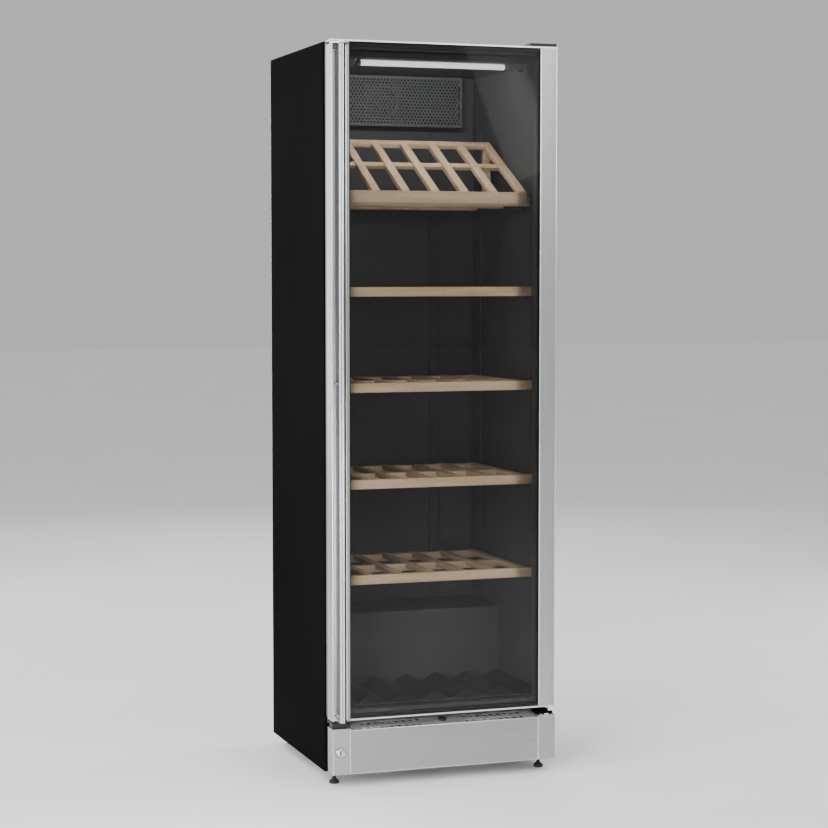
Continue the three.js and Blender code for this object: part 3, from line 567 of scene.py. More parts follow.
def carried(names, material, bevel=0.5, segments=2):
    """CAD nodes that stay, with softened edges and a full material."""
    for name in names.split():
        node = NODES[name]
        for slot in node.material_slots:
            slot.material = material
        weld = node.modifiers.new("weld", "WELD")
        weld.merge_threshold = 1e-5
        if not bevel:
            continue
        flat = node.modifiers.new("flat", "DECIMATE")
        flat.decimate_type = "DISSOLVE"
        flat.angle_limit = math.radians(1)
        edges = node.modifiers.new("edges", "BEVEL")
        edges.width = bevel * MM
        edges.segments = segments
        edges.limit_method = "ANGLE"
        edges.angle_limit = math.radians(35)
        normals = node.modifiers.new("normals", "WEIGHTED_NORMAL")
        normals.keep_sharp = False


# ------------------------------------------------------------------ nodes that stay

carried("side_panel_left side_panel_right top_panel", BLACK_STEEL_AND_SHADE, 0.5, 3)
carried("hinge_bracket_lower", BLACK_STEEL_AND_SHADE, 0.5)
carried("hinge_cover", BLACK_PLASTIC, 0.9, 3)
carried("base_pan", BLACK_STEEL_AND_SHADE, 0.3)
carried("back_panel evaporator compressor_plate hinge_bracket_upper", ZINC, 0.3)
carried("insulation_foam", FOAM, 0)
carried("liner_left liner_right", DARK_LINER, 1.2, 3)
carried("liner_back liner_ceiling liner_floor liner_step front_frame", DARK_LINER, 0.5)
carried("fan_frame light_switch glass_spacer lock_housing", BLACK_PLASTIC, 0.5)
carried("lamp_housing", LAMP_GREY, 0.6)
carried("drip_pan", WHITE_PLASTIC, 0.6)
carried("plinth_cap_left plinth_cap_right", PLINTH_CAP, 1.0, 3)
carried("door_rail_top door_rail_bottom", ALUMINIUM_ACROSS, 0.8, 3)
carried("lock_bolt", CHROME, 0.4)
carried("glass_outer", SMOKED, 0)
carried("glass_inner", CLEAR, 0)


# ------------------------------------------------------------------ door

def painted_highlight_line(x, depth, low, high):
    """A painted highlight that runs up a profile, as a bright strip sunk into its face."""
    return bar(x, depth, (low, high), 0.45, 2)


LEFT, RIGHT = -HALF, HALF
GROOVE_FLOOR = 16.0
LIP = 3.0  # width of the outer lip, left of the finger groove
BAR_LEFT = LEFT + 15
BAR_RIGHT = BAR_LEFT + 13
BOXED = LEFT + STILE - REBATE  # inner edge of the profile's hollow box
BAR_LOW, BAR_TOP = 166.0, 1831.0


def stile_outline(back):
    """The handle side's profile, with its lip and finger groove, down to a given depth."""
    return filleted([
        (LEFT, 0, 2.6), (LEFT + LIP, 0, 0.3), (LEFT + LIP, GROOVE_FLOOR, 9.5),
        (BOXED, GROOVE_FLOOR, 0.3), (BOXED, back, 0.3), (LEFT, back, 0.6),
    ], 6)


# The lock bolt rises into the profile's lower end, which is open behind its front wall.
POCKET_TOP = 182.0
POCKET_FRONT = 21.0
POCKET_WALL = 1.6
made(
    "handle_stile_profile", "door",
    [
        (extruded(stile_outline(DOOR_DEPTH), POCKET_TOP, BAR_TOP), 0),
        (extruded(stile_outline(POCKET_FRONT), DOOR_LOW, POCKET_TOP), 0),
        *[
            (bar(x, depth, (DOOR_LOW, POCKET_TOP + 0.5), 0.3, 1), 0)
            for x, depth in (
                ((LEFT, LEFT + POCKET_WALL), (POCKET_FRONT - 0.5, DOOR_DEPTH)),
                ((BOXED - POCKET_WALL, BOXED), (POCKET_FRONT - 0.5, DOOR_DEPTH)),
                ((LEFT, BOXED), (DOOR_DEPTH - POCKET_WALL, DOOR_DEPTH)),
            )
        ],
        # A painted highlight down the outer corner of the lip.
        (painted_highlight_line(
            (LEFT + 0.9, LEFT + LIP - 0.1), (-0.2, 0.9), DOOR_LOW + 0.4, BAR_TOP - 0.4
        ), 1),
    ],
    [ALUMINIUM, BRIGHT_METAL_AND_HIGHLIGHT], ["handle_stile"],
)

# The bar is grooved down its front between two ridges; beside it the flange has a bead.
BAR_FRONT = -HANDLE_PROUD
BAR_MIDDLE = (BAR_LEFT + BAR_RIGHT) / 2
bar_outline = filleted([
    (BAR_LEFT, GROOVE_FLOOR - 0.3, 0.2), (BAR_LEFT, BAR_FRONT + 2.0, 1.6),
    (BAR_LEFT + 3.0, BAR_FRONT, 1.8), (BAR_MIDDLE - 1.5, BAR_FRONT + 0.4, 0.5),
    (BAR_MIDDLE, BAR_FRONT + 1.5, 1.0), (BAR_MIDDLE + 1.5, BAR_FRONT + 0.4, 0.5),
    (BAR_RIGHT - 2.5, BAR_FRONT, 1.8), (BAR_RIGHT, BAR_FRONT + 2.5, 2.0),
    (BAR_RIGHT, 2.2, 0.3), (BAR_RIGHT + 7.4, 2.2, 0.2), (BAR_RIGHT + 7.8, 0.1, 1.2),
    (BAR_RIGHT + 11.0, 0.1, 1.2), (BAR_RIGHT + 12.0, 1.2, 0.5), (LEFT + STILE, 1.2, 0.5),
    (LEFT + STILE, FLANGE, 0.3), (BOXED, FLANGE, 0.2), (BOXED, GROOVE_FLOOR - 0.3, 0.2),
], 4)
cap_outline = filleted([
    (LEFT + 0.1, 3.0, 3.0), (LEFT + 6.0, -4.0, 6.0), (BAR_LEFT, BAR_FRONT + 1, 6.0),
    (BAR_RIGHT + 0.5, BAR_FRONT + 1, 3.0), (LEFT + STILE, -3.0, 4.0), (LEFT + STILE, 2.6, 0.5),
    (BOXED, 2.6, 0.2), (BOXED, GROOVE_FLOOR - 0.4, 0.3), (LEFT + 0.1, GROOVE_FLOOR - 0.4, 0.3),
], 5)
ramp = [
    (BAR_LEFT + 1, -9), (BAR_LEFT - 4, -1), (BAR_LEFT - 9.5, 8), (BAR_LEFT - 9.5, 14.5),
    (BAR_LEFT + 1, 14.5),
]
MIDDLE = (DOOR_LOW + DOOR_HIGH) / 2
gusset = [
    (BAR_LEFT + 1, -14), (BAR_LEFT - 11, 8), (BAR_LEFT - 6, 14.2), (BAR_LEFT + 1, 14.6),
]
made(
    "handle_bar_profile", "door",
    [
        (extruded(bar_outline, BAR_LOW, BAR_TOP, chamfer=0.5), 0),
        # Painted highlights: bright strips on the bar's two ridges and on the flange's bead.
        *[
            (painted_highlight_line(x, depth, BAR_LOW + 0.6, BAR_TOP - 0.6), 4)
            for x, depth in (
                ((BAR_LEFT + 1.8, BAR_LEFT + 4.2), (BAR_FRONT + 0.02, BAR_FRONT + 1.2)),
                ((BAR_RIGHT - 4.2, BAR_RIGHT - 1.6), (BAR_FRONT + 0.02, BAR_FRONT + 1.2)),
                ((BAR_RIGHT + 8.2, BAR_RIGHT + 10.8), (-0.1, 0.9)),
            )
        ],
        # Painted shade: darker aluminium down the bar's side in the finger groove and over the
        # flange behind the bar, and a black strip in the groove beside the bar.
        *[
            (bar(x, depth, (BAR_LOW + 0.5, BAR_TOP - 0.5), 0.1, 1), material)
            for x, depth, material in (
                ((BAR_LEFT - 0.25, BAR_LEFT + 0.5), (-14.5, 15.0), 2),
                ((BAR_RIGHT + 0.1, BAR_RIGHT + 7.3), (1.7, 2.4), 3),
                ((BAR_RIGHT + 12.2, LEFT + STILE - 0.5), (0.95, 1.6), 2),
            )
        ],
        (extruded(cap_outline, BAR_TOP + 0.3, GLASS_HIGH - 0.2, chamfer=0.8), 1),
        (extruded(ramp, 181.0, 184.0), 1),
        (extruded(gusset, MIDDLE - 2, MIDDLE + 2), 0),
    ],
    [ALUMINIUM, ALUMINIUM_ACROSS, SHADED_ALUMINIUM, BLACK_PRINT_AND_SHADE, BRIGHT_METAL_AND_HIGHLIGHT], ["handle_bar"],
)

hinge_outline = filleted([
    (RIGHT - STILE, 0, 3.2), (RIGHT, 0, 4.2), (RIGHT, DOOR_DEPTH, 0.8),
    (RIGHT - STILE + REBATE, DOOR_DEPTH, 0.3), (RIGHT - STILE + REBATE, FLANGE, 0.2),
    (RIGHT - STILE, FLANGE, 0.3),
], 6)
made(
    "hinge_stile_profile", "door",
    [
        (extruded(hinge_outline, GLASS_LOW, GLASS_HIGH), 0),
        # Painted highlights down both front edges.
        *[
            (painted_highlight_line(x, (-0.1, 1.6), GLASS_LOW + 0.4, GLASS_HIGH - 0.4), 1)
            for x in ((RIGHT - STILE + 0.4, RIGHT - STILE + 2.9), (RIGHT - 3.6, RIGHT - 1.1))
        ],
    ],
    [ALUMINIUM, BRIGHT_METAL_AND_HIGHLIGHT], ["hinge_stile"],
)


def groove_cap(low, high):
    """A moulded plug that closes an end of the finger groove, set back behind the lip."""
    return bar((LEFT + LIP + 0.2, BAR_LEFT - 0.2), (4.0, GROOVE_FLOOR - 0.4), (low, high), 1.0)


made(
    "groove_plugs", "door",
    [(groove_cap(1818.0, 1830.8), 0), (groove_cap(1815.0, 1817.0), 1), (groove_cap(168.5, 172), 1)],
    [INNER_FRAME, ALUMINIUM_ACROSS],
)

# The printed border on the outer pane hides the edges of the glass unit.
PANE_BACK = 7.0
FRIT_WIDE = 12.2


def looped(outlines):
    """A closed band through rectangles of (half width, low, high, depth), each joined to the
    next and the last to the first."""
    part = bmesh.new()
    rings = []
    for x, low, high, depth in outlines:
        rings.append([
            part.verts.new(place(a, depth, b)) for a, b in box((-x, x), (low, high))
        ])
    skin(part, rings, True)
    return outward(part)


def frame_band(outer, inner, depths):
    """A flat rectangular band of (half width, low, high) outer and inner edges."""
    front, back = depths
    return looped([(*outer, front), (*inner, front), (*inner, back), (*outer, back)])


def swept_frame(section, half, low, high):
    """A section of (inward, depth) points carried round a rectangle with mitred corners."""
    return looped([
        (half - inward, low + inward, high - inward, depth) for inward, depth in section
    ])


def softened(part, width):
    """The same solid with its sharp edges rounded."""
    sharp = [edge for edge in part.edges if edge.calc_face_angle(0.0) > 0.6]
    bmesh.ops.bevel(
        part, geom=sharp, offset=width * MM, segments=2, profile=0.5, affect="EDGES"
    )
    return part


# The moulded frame behind the profiles shows as a lighter strip along the door's side.
FRAME_OPENING = (GLASS_HALF - 7, 190.0, 1824.0)
made(
    "door_inner_frame_moulded", "door",
    [
        (softened(frame_band(
            (HALF - 0.8, DOOR_LOW + 4, DOOR_HIGH - 4), FRAME_OPENING, (DOOR_DEPTH + 1.4, 55.0)
        ), 0.8), 0),
        (softened(frame_band(
            (GLASS_HALF, GLASS_LOW, GLASS_HIGH), FRAME_OPENING, (23.9, DOOR_DEPTH + 2)
        ), 0.6), 0),
    ],
    [INNER_FRAME], ["door_inner_frame"],
)
made(
    "glass_printed_border", "door",
    [(frame_band(
        (GLASS_HALF - 0.3, GLASS_LOW + 0.3, GLASS_HIGH - 0.3),
        (GLASS_HALF - FRIT_WIDE, GLASS_LOW + 5, GLASS_HIGH - 5),
        (PANE_BACK + 0.05, PANE_BACK + 0.2),
    ), 0)],
    [BLACK_PRINT_AND_SHADE],
)


gasket_section = filleted([
    (0, 55.4, 0.3), (2.5, 55.4, 0.5), (3.4, 57.5, 0.8), (12.6, 57.5, 0.8), (13.5, 55.4, 0.5),
    (16, 55.4, 0.3), (15, 58.5, 1.0), (16, 60.2, 1.0), (15, 62.0, 1.0), (16, 64.0, 1.2),
    (14.6, 67.1, 1.5), (1.4, 67.1, 1.5), (0, 64.0, 1.2), (1, 62.0, 1.0), (0, 60.2, 1.0),
    (1, 58.5, 1.0),
], 2)
made(
    "door_gasket_bellows", "door",
    [(swept_frame(gasket_section, HALF - 13, DOOR_LOW + 6, DOOR_HIGH - 6), 0)],
    [RUBBER], ["door_gasket"], angle=50,
)


# ------------------------------------------------------------------ hinges

HINGE_X, HINGE_DEPTH = 286.5, 12.0
pin_profile = [
    (0, 156), (5.9, 156), (6.5, 156.6), (6.5, 161.4), (6.1, 161.9), (6.1, 162.4), (6.5, 162.9),
    (6.5, 167.1), (6.0, 167.7), (4, 167.7), (4, 187), (3.2, 188), (0, 188),
]
made(
    "hinge_pin_turned", "cabinet", [(turned(pin_profile, (HINGE_X, HINGE_DEPTH, 0), "z", 28), 0)],
    [CHROME], ["hinge_pin_lower"],
)
made(
    "hinge_screws", "cabinet",
    [
        (screw(x, 62, z, "y", -1, 4.2), 0)
        for x in (258, 283) for z in (112, 138)
    ] + [(screw(x, 110, 1846.0, "z", 1, 4.2), 0) for x in (245, 275)],
    [ZINC],
)


# ------------------------------------------------------------------ plinth


def tilted(part, angle, origin):
    """Tips a part about the x axis and sets its origin at that point."""
    return transformed(part, Matrix.Translation(place(*origin)) @ Matrix.Rotation(angle, 4, "X"))


PLINTH_SPAN = (-HALF + STILE + 0.3, HALF - STILE - 0.3)
panel_outline = filleted([
    (0.6, 33.0, 1.2), (0.6, 142.2, 0.6), (2.1, 142.2, 0.3),
    (2.1, 34.5, 0.3), (20, 34.5, 0.2), (20, 33.0, 0.2),
], 5)
made(
    "plinth_panel_rolled", "cabinet",
    [
        (extruded(panel_outline, *PLINTH_SPAN, "x"), 0),
        # Painted highlights: bright strips along the top and bottom folds, up the left corner and
        # up the joins with the caps.
        *[
            (bar(PLINTH_SPAN, (0.45, 3.3), (z, z + 2.2), 1.0), 1)
            for z in (141.2, 32.6)
        ],
        *[
            (painted_highlight_line(about(x, 1.2), (-0.1, 0.9), 33.4, 147.6), 1)
            for x in (-HALF + 1.6, -HALF + STILE, HALF - STILE)
        ],
    ],
    [STEEL_ACROSS, BRIGHT_METAL_AND_HIGHLIGHT], ["plinth_panel"],
)

# The grille is drawn flat, from its front edge back, and tipped. Its middle hole is the knob's.
GRILLE_FRONT = (0, 3.4, 141.0)
KNOB_BACK = 27
grille_half = HALF - STILE - 0.3
grille_outer = [
    (-grille_half, 0), (grille_half, 0), (grille_half, 52), (grille_half - 10, 62),
    (-grille_half, 62),
]
grille_holes = [circle(0, KNOB_BACK, 4.2)] + [
    circle(side * (62.5 + index * 18.5), back, 5.2, 18)
    for back in (12, 37) for side in (-1, 1) for index in range(9)
]
made(
    "vent_grille_drilled", "cabinet",
    [(tilted(plate(grille_outer, grille_holes, -2, 0, 0.4), GRILLE_SLOPE, GRILLE_FRONT), 0)],
    [GRILLE_METAL], ["vent_grille"],
)


def knob():
    """A round knob with a ribbed rim, drawn about its own axis. Its coin slot is left between two
    pads added where it is placed.
    """
    part = bmesh.new()
    steps, ribs = 96, 24
    levels = [
        (10.9, 0.5, 0.0), (11.0, 0.9, 0.35), (11.0, 4.4, 0.35), (10.4, 5.2, 0.1),
        (9.4, 5.6, 0.0), (7.6, 5.3, 0.0), (7.2, 5.0, 0.0),
    ]
    rings = []
    for radius, height, rib in levels:
        ring = []
        for i in range(steps):
            angle = TAU * i / steps
            r = radius - rib * (0.5 + 0.5 * math.cos(angle * ribs))
            spot = (r * math.cos(angle) * MM, r * math.sin(angle) * MM, height * MM)
            ring.append(part.verts.new(spot))
        rings.append(ring)
    bottom = part.verts.new((0, 0, levels[0][1] * MM))
    skin(part, [[bottom], *rings])
    part.faces.new(rings[-1])
    return outward(part)


def at_knob(part):
    _, depth, z = GRILLE_FRONT
    return tilted(part, GRILLE_SLOPE, (
        0, depth + KNOB_BACK * math.cos(GRILLE_SLOPE), z + KNOB_BACK * math.sin(GRILLE_SLOPE)
    ))


def centred(part):
    """Moves a part that was drawn about the frame's zero point to the origin, to be tilted."""
    return moved(part, -place(0, 0, 0))


made(
    "thermostat_knob_ribbed", "thermostat",
    [
        (at_knob(knob()), 0),
        (at_knob(centred(turned(
            [(0, -14), (3.2, -14), (3.2, 1), (0, 1)], (0, 0, 0), "z", 20
        ))), 0),
        *[
            (at_knob(centred(bar(x, (-1.8, 1.8), (4.6, 5.5), 0.3, 2))), 0)
            for x in ((-6.6, -1.2), (1.2, 6.6))
        ],
    ],
    [BLACK_PLASTIC], ["thermostat_knob"],
)

# The lock: a turned rim round a cylinder face with an upright keyhole. The dark rings inside and
# outside the rim and the flat black keyhole are painted shade.
LOCK = (-277.0, 0.0, 88.5)
rim = [
    (9.4, -0.3), (9.4, -1.9), (9.8, -2.4), (11.0, -2.4), (11.5, -1.9), (11.5, -0.3),
]
face = [(0, -2.1), (7.2, -2.1), (8.0, -1.4), (8.0, 24), (7.6, 24.4), (0, 24.4)]
shadow = [(7.9, -1.0), (9.6, -1.0), (9.6, -0.2), (7.9, -0.2)]
outer_shade_ring = [(11.3, -1.6), (12.9, -0.6), (13.3, -0.1), (11.3, -0.1)]
keyhole = filleted([
    (LOCK[0] + x, LOCK[2] + z, 1.4)
    for x, z in ((-1.9, -5.6), (1.9, -5.6), (1.9, 5.6), (-1.9, 5.6))
], 4)
made(
    "lock_cylinder_turned", "lock_key_cylinder",
    [
        (turned(rim, LOCK, "y", 40, closed=True), 0),
        (turned(face, LOCK, "y", 40), 0),
        (turned(shadow, LOCK, "y", 40, closed=True), 1),
        (turned(outer_shade_ring, LOCK, "y", 40, closed=True), 1),
        (extruded(keyhole, -2.25, -1.9, "y"), 1),
    ],
    [BRIGHT_METAL_AND_HIGHLIGHT, BLACK_STEEL_AND_SHADE], ["lock_cylinder"],
)


# ------------------------------------------------------------------ feet and rollers

FOOT_X, FOOT_DEPTH = 276.0, 60.0
foot_profile = [
    (0, 0), (11.2, 0), (12.2, 0.6), (12.5, 1.6), (12.5, 6.4), (11.9, 7.2), (9.8, 8.2),
    (8.0, 10.2), (7.4, 10.9), (5, 11),
]
THREAD_LOW, THREAD_PITCH, THREAD_TURNS = 11.2, 1.5, 34
for turn in range(THREAD_TURNS):
    level = THREAD_LOW + turn * THREAD_PITCH
    foot_profile += [(4.55, level), (5.0, level + 0.4), (5.0, level + 0.65), (4.55, level + 1.05)]
foot_profile += [(4.4, 62), (0, 62)]
ROLLER_X, ROLLER_DEPTH = 264, 534
half_wheel = [(15, 8), (14, 9), (12, 9), (11.2, 7.4), (7.2, 7.4), (6.5, 9), (3.4, 9)]
wheel = [(r, -along) for r, along in reversed(half_wheel)] + half_wheel
for side, name in SIDES:
    made(
        f"foot_{name}_threaded", f"foot_{name}_body",
        [(turned(foot_profile, (side * FOOT_X, FOOT_DEPTH, 0), "z", 28), 0)],
        [RUBBER], [f"foot_{name}"],
    )
    made(
        f"roller_{name}_wheel", f"roller_{name}_body",
        [(turned(wheel, (side * ROLLER_X, ROLLER_DEPTH, 15), "x", 36, closed=True), 0)],
        [WHITE_PLASTIC], [f"roller_{name}"],
    )


# ------------------------------------------------------------------ inside

SHELF_HALF = 262.5
SHELF_BACK = 500.0
SHELF_THICK = 24
CROSS_BAR = 22  # depth of the bars across the middle and back
LATHS = 7
LATH_HALF = 11


def spaced(count, half):
    """Evenly spaced places from -half to half."""
    return [-half + index * 2 * half / (count - 1) for index in range(count)]


def cross_bar(front, back, low, high, radius, segments=3):
    """A bar over the shelf's full width."""
    return bar((-SHELF_HALF, SHELF_HALF), (front, back), (low, high), radius, segments)


def shelf_parts(top, front):
    """Bars across at the front, middle and back, and laths between them."""
    low = top - SHELF_THICK
    parts = [
        (cross_bar(front, front + 18, low, top, 2.2, 4), 0),
        (cross_bar(SHELF_BACK - CROSS_BAR, SHELF_BACK, low, top - 5, 1.5), 0),
        (cross_bar(280, 280 + CROSS_BAR, low, top - 5, 1.5), 0),
    ]
    for x in spaced(LATHS, SHELF_HALF - LATH_HALF):
        lath = (about(x, LATH_HALF), (front + 17, SHELF_BACK - 0.2), (top - 15, top - 3))
        parts.append((bar(*lath, 2.0), 1))
    return parts


for number, top in enumerate(SHELF_TOPS, 1):
    shelf_front = 92 if number == 1 else 74
    made(
        f"shelf_{number}_beech", "cabinet", shelf_parts(top, shelf_front), [BEECH_X, BEECH_Y],
        [f"shelf_{number}"],
    )

RACK_HALF = 246.0
RACK_REACH = 235  # the middle of its outer laths and legs
RACK_HINGE = (0, 86.0, 1470.5)
LEG_FRONT, LEG_BACK = 328, 348


def sloping(x, y, z, radius):
    """A bar of the sloping part of the display rack, drawn flat and tipped."""
    return tilted(centred(bar(x, y, z, radius)), DISPLAY_TILT, RACK_HINGE)


rack = [
    (sloping((-RACK_HALF, RACK_HALF), (278, 300), (0.2, 13.8), 2.0), 0),
    (sloping((-RACK_HALF, RACK_HALF), (150, 172), (0.2, 10), 1.5), 0),
    (bar((-RACK_HALF, RACK_HALF), (74, 88), (1450, 1481), 2.4, 4), 0),
]
for x in spaced(LATHS, RACK_REACH):
    rack.append((sloping(about(x, LATH_HALF), (0, 299.6), (0, 14), 2.2), 1))
leg_height = (LEG_BACK - RACK_HINGE[1]) * math.tan(DISPLAY_TILT) + 2
for x in (-RACK_REACH, RACK_REACH):
    leg = (about(x, 9), (LEG_FRONT, LEG_BACK), (1468, RACK_HINGE[2] + leg_height))
    rack.append((bar(*leg, 1.5), 0))
made("display_rack_beech", "cabinet", rack, [BEECH_X, BEECH_Y], ["display_rack"])


def tray_parts():
    """A corrugated sheet with a hollow for each bottle, and an apron under its front edge."""
    hollows, pitch, wave, wall = 6, 86.0, 9.0, 2.5
    half = hollows * pitch / 2
    floor = 192.3
    steps = hollows * 20
    crest = []
    for i in range(steps + 1):
        x = -half + 2 * half * i / steps
        crest.append((x, floor + wave * (1 + math.cos(TAU * (x + half) / pitch))))
    sheet = crest + [(x, z + wall) for x, z in reversed(crest)]
    apron = [(-half, floor), *[(x, z + wall - 0.4) for x, z in crest], (half, floor)]
    return [(extruded(sheet, 74, 313, "y"), 0), (extruded(apron, 74.1, 76.6, "y"), 0)]


made(
    "bottle_tray_moulded", "cabinet", tray_parts(), [BLACK_PLASTIC],
    ["bottle_tray"],
)


def perforated(x_range, z_range, depths, pitch, radius):
    """A sheet of staggered round holes: each cell is a ring between its hole and its edge."""
    part = bmesh.new()
    sides = 8
    (x0, x1), (z0, z1) = x_range, z_range
    columns = round((x1 - x0) / pitch[0])
    rows = round((z1 - z0) / pitch[1])
    step_x, step_z = (x1 - x0) / columns, (z1 - z0) / rows

    def cell(left, right, low, high, drilled):
        if not drilled:
            for depth in depths:
                corners = box((left, right), (low, high))
                part.faces.new([part.verts.new(place(a, depth, b)) for a, b in corners])
            return
        cx, cz = (left + right) / 2, (low + high) / 2
        rings = []
        for depth in depths:
            inner, outer = [], []
            for i in range(sides):
                angle = TAU * (i + 0.5) / sides
                dx, dz = math.cos(angle), math.sin(angle)
                reach = min((right - left) / 2 / abs(dx), (high - low) / 2 / abs(dz))
                inner.append(part.verts.new(place(cx + radius * dx, depth, cz + radius * dz)))
                outer.append(part.verts.new(place(cx + reach * dx, depth, cz + reach * dz)))
            for i in range(sides):
                j = (i + 1) % sides
                part.faces.new((inner[i], inner[j], outer[j], outer[i]))
            # A hole of eight sides leaves one triangle of the cell at each corner.
            corners = ((right, high), (left, high), (left, low), (right, low))
            for quarter, (a, b) in enumerate(corners):
                first, second = outer[2 * quarter], outer[2 * quarter + 1]
                part.faces.new((first, part.verts.new(place(a, depth, b)), second))
            rings.append(inner)
        skin(part, rings)

    for row in range(rows):
        low = z0 + row * step_z
        shift = step_x / 2 if row % 2 else 0.0
        if shift:
            cell(x0, x0 + shift, low, low + step_z, False)
            cell(x1 - shift, x1, low, low + step_z, False)
        for column in range(columns - 1 if shift else columns):
            left = x0 + shift + column * step_x
            cell(left, left + step_x, low, low + step_z, True)
    bmesh.ops.remove_doubles(part, verts=part.verts, dist=1e-6)
    return outward(part)


COVER_HALF, COVER_LOW, COVER_HIGH = 221.0, 1670.0, 1804.0
COVER_FRONT, COVER_BACK = 485.0, 519.5
MARGIN = 6.0  # the plain rim round the holes
SHEET = 1.5
face_depths = (COVER_FRONT, COVER_FRONT + SHEET)
return_depths = (COVER_FRONT + 0.5, COVER_BACK)
cover = [
    (perforated(
        (-COVER_HALF + MARGIN, COVER_HALF - MARGIN), (COVER_LOW + MARGIN, COVER_HIGH - MARGIN),
        face_depths, (9.6, 8.3), 3.0,
    ), 0),
    (frame_band(
        (COVER_HALF, COVER_LOW, COVER_HIGH),
        (COVER_HALF - MARGIN, COVER_LOW + MARGIN, COVER_HIGH - MARGIN), face_depths,
    ), 0),
]
for x in (-COVER_HALF, COVER_HALF - SHEET):
    edge = ((x, x + SHEET), return_depths, (COVER_LOW + 0.1, COVER_HIGH - 0.1))
    cover.append((bar(*edge, 0.3, 1), 0))
for z in (COVER_LOW, COVER_HIGH - SHEET):
    edge = ((-COVER_HALF + 1, COVER_HALF - 1), return_depths, (z, z + SHEET))
    cover.append((bar(*edge, 0.3, 1), 0))
# A dark sheet behind the perforated one: painted shade that makes its holes read as dark.
shade_pad = ((-COVER_HALF + 4, COVER_HALF - 4), (517.6, 519.4), (COVER_LOW + 4, COVER_HIGH - 4))
cover.append((bar(*shade_pad, 0.3, 1), 1))
made("duct_cover_perforated", "cabinet", cover, [COVER_GREY, BLACK_PRINT_AND_SHADE], ["duct_cover"])


FAN = (0.0, 493.0, 1737.0)
FAN_LENGTH = 18.0
BLADES = 7


def fan_blades():
    """A hub with curved, twisted blades."""
    x0, depth0, z0 = FAN
    hub = [(0, 0), (13.5, 0), (16, 2.2), (16, FAN_LENGTH), (0, FAN_LENGTH)]
    parts = [(turned(hub, FAN, "y", 32), 0)]
    cells = 6
    for blade in range(BLADES):
        part = bmesh.new()
        layers = []
        for back in (0.0, 1.2):
            layer = []
            for i in range(cells + 1):
                out = i / cells
                radius = 15.5 + 24.5 * out
                row = []
                for k in range(cells + 1):
                    share = k / cells - 0.5
                    angle = TAU * blade / BLADES + share * (0.55 - 0.2 * out) * 1.6 + 0.12 * out
                    rise = share * (14 - 4 * out) + 1.5 * math.cos(share * math.pi)
                    row.append(part.verts.new(place(
                        x0 + radius * math.cos(angle),
                        depth0 + FAN_LENGTH / 2 + rise + back - 0.6,
                        z0 + radius * math.sin(angle),
                    )))
                layer.append(row)
            layers.append(layer)
            for first, second in zip(layer, layer[1:]):
                for k in range(cells):
                    part.faces.new((first[k], second[k], second[k + 1], first[k + 1]))
        rim = [(i, 0) for i in range(cells)] + [(cells, k) for k in range(cells)]
        rim += [(i, cells) for i in range(cells, 0, -1)] + [(0, k) for k in range(cells, 0, -1)]
        skin(part, [[layer[i][k] for i, k in rim] for layer in layers])
        parts.append((outward(part), 0))
    return parts


made("fan_rotor_bladed", "fan", fan_blades(), [BLACK_PLASTIC], ["fan_rotor"])

# The lamp tube: a round-ended glass with a metal cap on each end.
LAMP_DEPTH, LAMP_Z = 100.0, 1797.0
half_tube = [(7, 188.5), (6.5, 191), (5.0, 192.5), (0, 192.5)]
tube_profile = [(r, -x) for r, x in reversed(half_tube)] + half_tube
cap = [(0, 191.5), (6.8, 191.5), (7.0, 192.5), (7.0, 201.0), (6.2, 202.2), (2.0, 202.4)]
cap += [(1.6, 207.8), (0, 207.8)]
lamp_parts = [(turned(tube_profile, (0, LAMP_DEPTH, LAMP_Z), "x", 28), 0)]
for side in (-1, 1):
    ends = [(r, side * x) for r, x in cap]
    lamp_parts.append((turned(ends, (0, LAMP_DEPTH, LAMP_Z), "x", 28), 1))
made("lamp_tube_lit", "cabinet", lamp_parts, [LAMP, LAMP_GREY], ["lamp_tube"])


def stood(part, shift):
    """A flat plate stood up to face the front, then shifted by a vector in metres."""
    return moved(transformed(part, Matrix.Rotation(math.pi / 2, 4, "X")), shift)


def rail_parts(x):
    """An upright channel with pairs of slots down its face."""
    low, high, back, deep, half = 395.0, 1655.0, 519.7, 6.0, 14.5
    margin, pitch = 22, 30  # from the ends to the slots, and from slot to slot
    slots = []
    z = low + margin
    while z < high - margin:
        slots += [box(about(x + side * 5.5, 1.6), about(z, 6)) for side in (-1, 1)]
        z += pitch
    outer = box(about(x, half), (low, high))
    face_plate = stood(plate(outer, slots, 0, 1.5, 0.2), place(0, back - deep + 1.5, 0))
    sides = [
        bar(about(x + side * (half - 0.75), 0.75), (back - deep + 1, back), (low, high), 0.2, 1)
        for side in (-1, 1)
    ]
    return [(face_plate, 0), *[(part, 0) for part in sides]]


for side, name in SIDES:
    made(
        f"back_rail_{name}_slotted", "cabinet", rail_parts(side * 152), [DARK_LINER],
        [f"back_rail_{name}"],
    )


# ------------------------------------------------------------------ cooling plant

CABINET_BACK = 560
COIL_DEPTH, COIL_LOW, COIL_HIGH, COIL_HALF, COIL_RUNS = 573.0, 430.0, 1640.0, 232.0, 13
BEND_STEPS = 12
WIRES = 58
STRAPS = (-188, -63, 63, 188)


